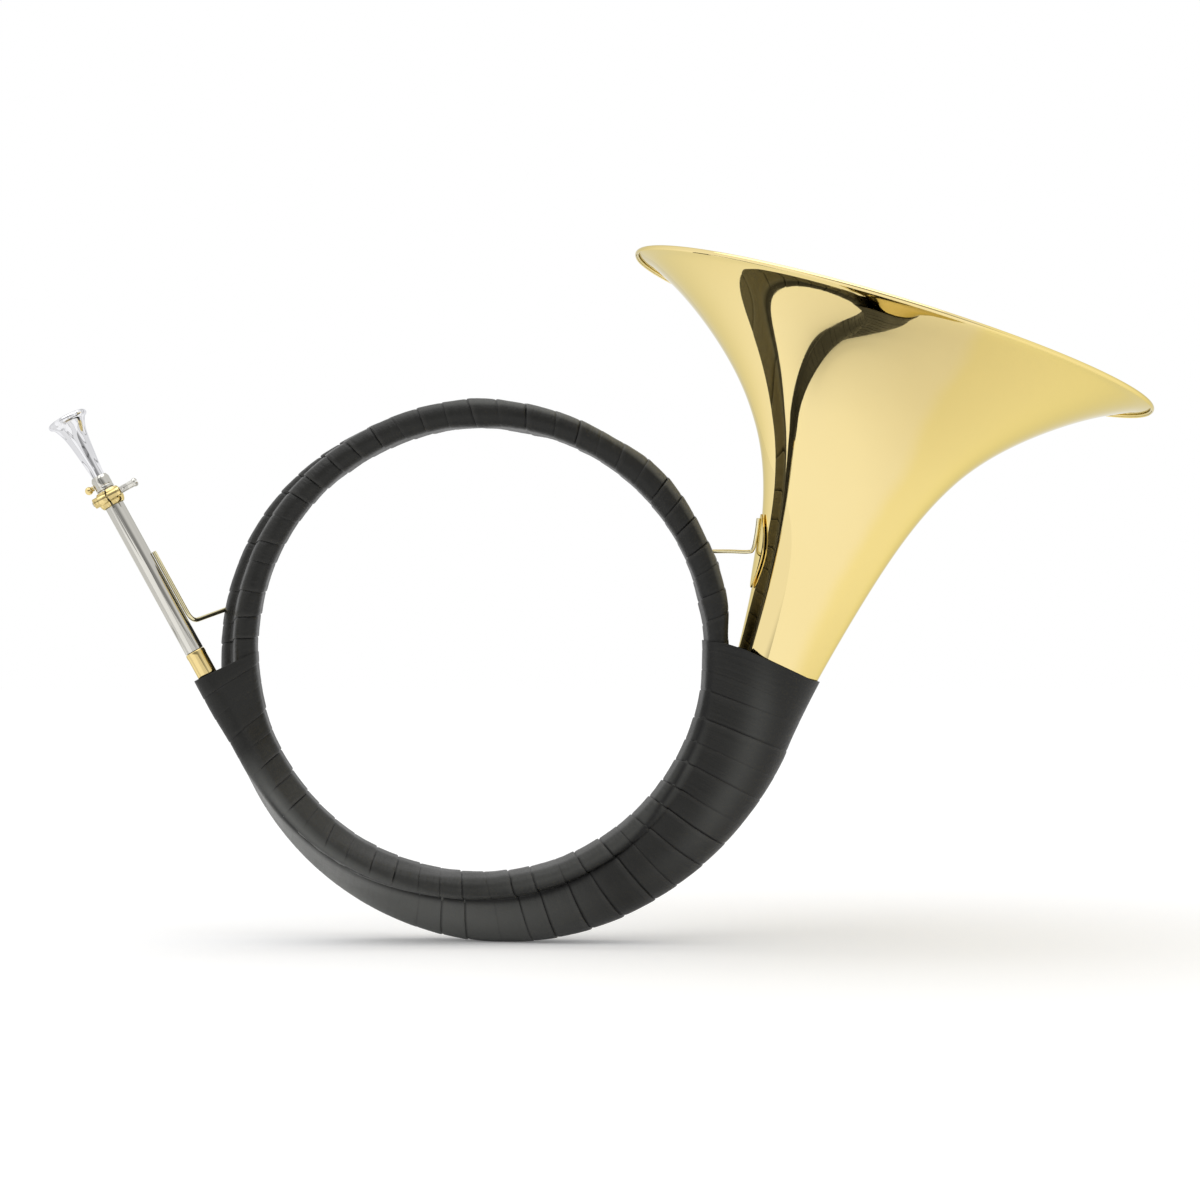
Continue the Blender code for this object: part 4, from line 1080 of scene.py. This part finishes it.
# %% The clamp: a grooved ring and a cross boss, bored, and slit right through
BOSS_DEPTH = -6.9
BOSS_HEIGHT = 154.9
RING_SHAPE = (
    (150.6, 5.5), (151.6, 6.15), (153.2, 6.6), (154.2, 6.6), (154.8, 6.1), (155.4, 6.6), (156.4, 6.6),
    (158.0, 5.95), (158.8, 5.6), (158.8, 4.6), (150.6, 4.6),
)
clamp = turned("clamp", RING_SHAPE, round_edges=0.15)
boss = rod("boss", 2.5, 14.5, (-0.35, BOSS_DEPTH, BOSS_HEIGHT), 90)
bevel(boss, 0.35, 3, 40)
cut(clamp, boss, "UNION")
cut(clamp, rod("bore", 5.0, 30, (0, 0, BOSS_HEIGHT), 0))
cut(clamp, rod("screw_hole", 1.4, 40, (0, BOSS_DEPTH, BOSS_HEIGHT), 90))
cut(clamp, block("gap", (0, -8, 155), (0.9, 12, 30)))
on_leadpipe(clamp, "clamp_ring", YELLOW_BRASS, 30)

# %% The clamp's screw: a long round head with a bead and a cross slot
SCREW_SHAPE = (
    (-8.2, 0), (-8.2, 0.9), (-8.0, 1.1), (7.2, 1.1), (7.2, 1.6), (7.5, 1.75), (14.2, 1.75), (14.3, 2.1),
    (14.6, 2.2), (15.6, 2.2), (15.9, 2.1), (16.5, 1.3), (16.6, 0),
)
screw = turned("screw", SCREW_SHAPE, steps=64, round_edges=0.06)
cut(screw, block("groove", (0, 0, 16.4), (0.8, 8, 2.2)))
stand(screw, radians(90), (0, BOSS_DEPTH * MM, BOSS_HEIGHT * MM))
on_leadpipe(screw, "clamp_screw", NICKEL_SILVER, body="screw_body")

# %% The collar that takes the mouthpiece, on top of the tuning tube
COLLAR_SHAPE = (
    (159.4, 4.3), (159.4, 4.45), (159.7, 4.65), (160.9, 4.65), (161.1, 4.5), (161.4, 4.5), (161.6, 4.65),
    (165.2, 4.65), (166.8, 3.85), (166.8, 3.45), (161.5, 3.45), (161.5, 4.15), (159.4, 4.15),
)
collar = turned("collar", COLLAR_SHAPE, round_edges=0.08)
on_leadpipe(collar, "mouthpiece_receiver", NICKEL_SILVER, body="tuning_slide")

# %% The small ball screw that locks the mouthpiece
neck = ((0, 0), (0, 1.2), (0.2, 1.3), (0.75, 1.3), (0.95, 0.85))
ball_arc = np.linspace(0.16 * pi, 0.96 * pi, 16).tolist()
round_end = ((2.6 - 2.0 * cos(turn), 2.0 * sin(turn)) for turn in ball_arc)
ball = turned("ball", (*neck, *round_end, (4.6, 0)), steps=64, round_edges=0)
stand(ball, radians(-90), (-4.95 * MM, 0, 162.7 * MM))
on_leadpipe(ball, "ball_screw", YELLOW_BRASS, body="tuning_slide")

# %% The mouthpiece: rim, funnel cup, throat and backbore
MOUTHPIECE_TOP = 200.2
CUP_OUTSIDE = (
    (0.0, 8.6), (0.25, 9.3), (0.8, 9.95), (1.6, 10.2), (2.3, 10.0), (2.8, 9.6), (3.3, 8.75), (4.2, 8.05),
    (6.0, 7.2), (10.0, 5.9), (16.0, 4.9), (23.0, 4.1), (28.0, 3.6), (33.0, 3.2), (54.0, 2.9),
)
CUP_INSIDE = (
    (54.0, 2.2), (24.0, 1.7), (18.0, 2.4), (8.0, 5.2), (3.0, 6.7), (1.6, 7.1), (0.7, 7.45), (0.25, 7.9),
)
cup = curve_through(CUP_OUTSIDE, 64) + curve_through(CUP_INSIDE, 36)
cup_profile = [(MOUTHPIECE_TOP - down, radius) for down, radius in cup]
mouthpiece = turned("silver_mouthpiece", cup_profile, round_edges=0)
on_leadpipe(mouthpiece, "mouthpiece", SILVER_PLATE, 50, body="mouthpiece_body")

# %% [markdown]
# ## Braces and foot
#
# Two bent brass wires tie leadpipe and bell to the ring. A wire is a curve with a round bevel, turned
# into a mesh. The bell's brace stands on a pointed plate that is bent to the throat and soldered there.

# %% A bent wire


def wire(name, points, radius, replaced):
    """A round wire bent smoothly through its points, its ends closed flat."""
    steps = 6 * (len(points) - 1)
    path = settle(add(bpy.ops.curve.primitive_nurbs_path_add, name))
    path.data.splines.clear()
    spline = path.data.splines.new("POLY")
    spline.points.add(steps)
    for target, place in zip(spline.points, curve_through(points, steps + 1)):
        target.co = (*place, 1)
    path.data.bevel_depth = radius
    path.data.bevel_resolution = 6
    path.data.use_fill_caps = True
    choose(path)
    bpy.ops.object.convert(target="MESH")
    dress(heal(bpy.context.active_object), replaced, WIRE_BRASS, 50)


def on_bell(distance, azimuth, lift):
    """A point on the bell's outside. Azimuth 0 is the side towards the ring and 90 the front."""
    centre, _ = bell_centre(distance)
    turn = radians(azimuth)
    out = BELL_LEFT * cos(turn) + Vector((0, -1, 0)) * sin(turn)
    return centre + out * (bell_radius(distance) + lift)


# %% The leadpipe's brace: soldered along the sleeve, bent, and led in under the leather
right = polar(1, LEAD_ANGLE - 180, 0)
beside = right * 6.05 * MM
on_coil = polar(134.0 * MM, 171.8, 8.0 * MM)
corner = lead_point(81.5 * MM) + beside
away = (on_coil - corner).normalized()
before, after = corner + LEAD_UP * 5.5 * MM, corner + away * 5.5 * MM
under = on_coil + away * 7.0 * MM
straight = [lead_point(up * MM) + beside for up in (121, 113.5, 106, 98.5, 92)]
bend = [
    before * (1 - u) ** 2 + corner * 2 * u * (1 - u) + after * u**2 for u in (0, 0.25, 0.5, 0.75, 1)
]
inwards = [after + (under - after) * share for share in (0.33, 0.67, 1)]
wire("sleeve_brace", straight + bend + inwards, 1.1 * MM, "leadpipe_brace")

# %% The bell's brace
coil_end = polar(124.9 * MM, 23.3, -2 * MM)
bend = on_bell(125.5 * MM, 5, 2.4 * MM)
across_gap = [coil_end, coil_end + (bend - coil_end) * 0.45, bend - Vector((2.6, 0, 0.2)) * MM]
up_the_foot = [on_bell(down * MM, azimuth, 2 * MM) for down, azimuth in ((117, 6), (109, 8))]
bent = [*across_gap, bend + Vector((0, 0, 1.2)) * MM, *up_the_foot]
wire("throat_brace", bent, 0.95 * MM, "bell_brace")

# %% The pointed foot: a flat grid bent onto the bell, thickened and bevelled
foot = add(bpy.ops.mesh.primitive_grid_add, "foot_plate", x_subdivisions=16, y_subdivisions=40, size=1)
for corner in foot.data.vertices:
    across_share, down = corner.co.x + 0.5, corner.co.y + 0.5
    half = 15.0 * sin(pi * (0.015 + 0.97 * down)) ** 0.8
    corner.co = on_bell((106.5 + 36.5 * down) * MM, 10.0 + half * (2 * across_share - 1), 0.35 * MM)
face_towards(foot, len(foot.data.polygons) // 2, BELL_LEFT)
finish_with(foot, "SOLIDIFY", thickness=0.8 * MM, offset=1)
bevel(foot, 0.25, 2, 50)
dress(foot, "bell_foot", BRASS, 40)

# %% [markdown]
# ## Finish
#
# The tubes inside the leather and the tuning tube keep their imported shape and get the same metals. The
# boxes of the imported model and of the dressed one are printed, so that they can be compared.

# %% Metals for the imported nodes that stay
UNDER_LEATHER = (
    "first_turn", "second_turn", "third_turn", "bell_branch",
    "first_ferrule", "second_ferrule", "third_ferrule",
)
for name in (*UNDER_LEATHER, "tuning_tube"):
    for slot in bpy.data.objects[name].material_slots:
        slot.material = NICKEL_SILVER if name == "tuning_tube" else BRASS
    print("carried over:", name)

# %% Print the boxes and finish
bpy.context.view_layer.update()
dressed = [list(corner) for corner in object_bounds()]
for label, box in (("packed", CAD_BOX), ("dressed", dressed)):
    print(label, "box in mm:", [[round(value / MM, 2) for value in corner] for corner in box])
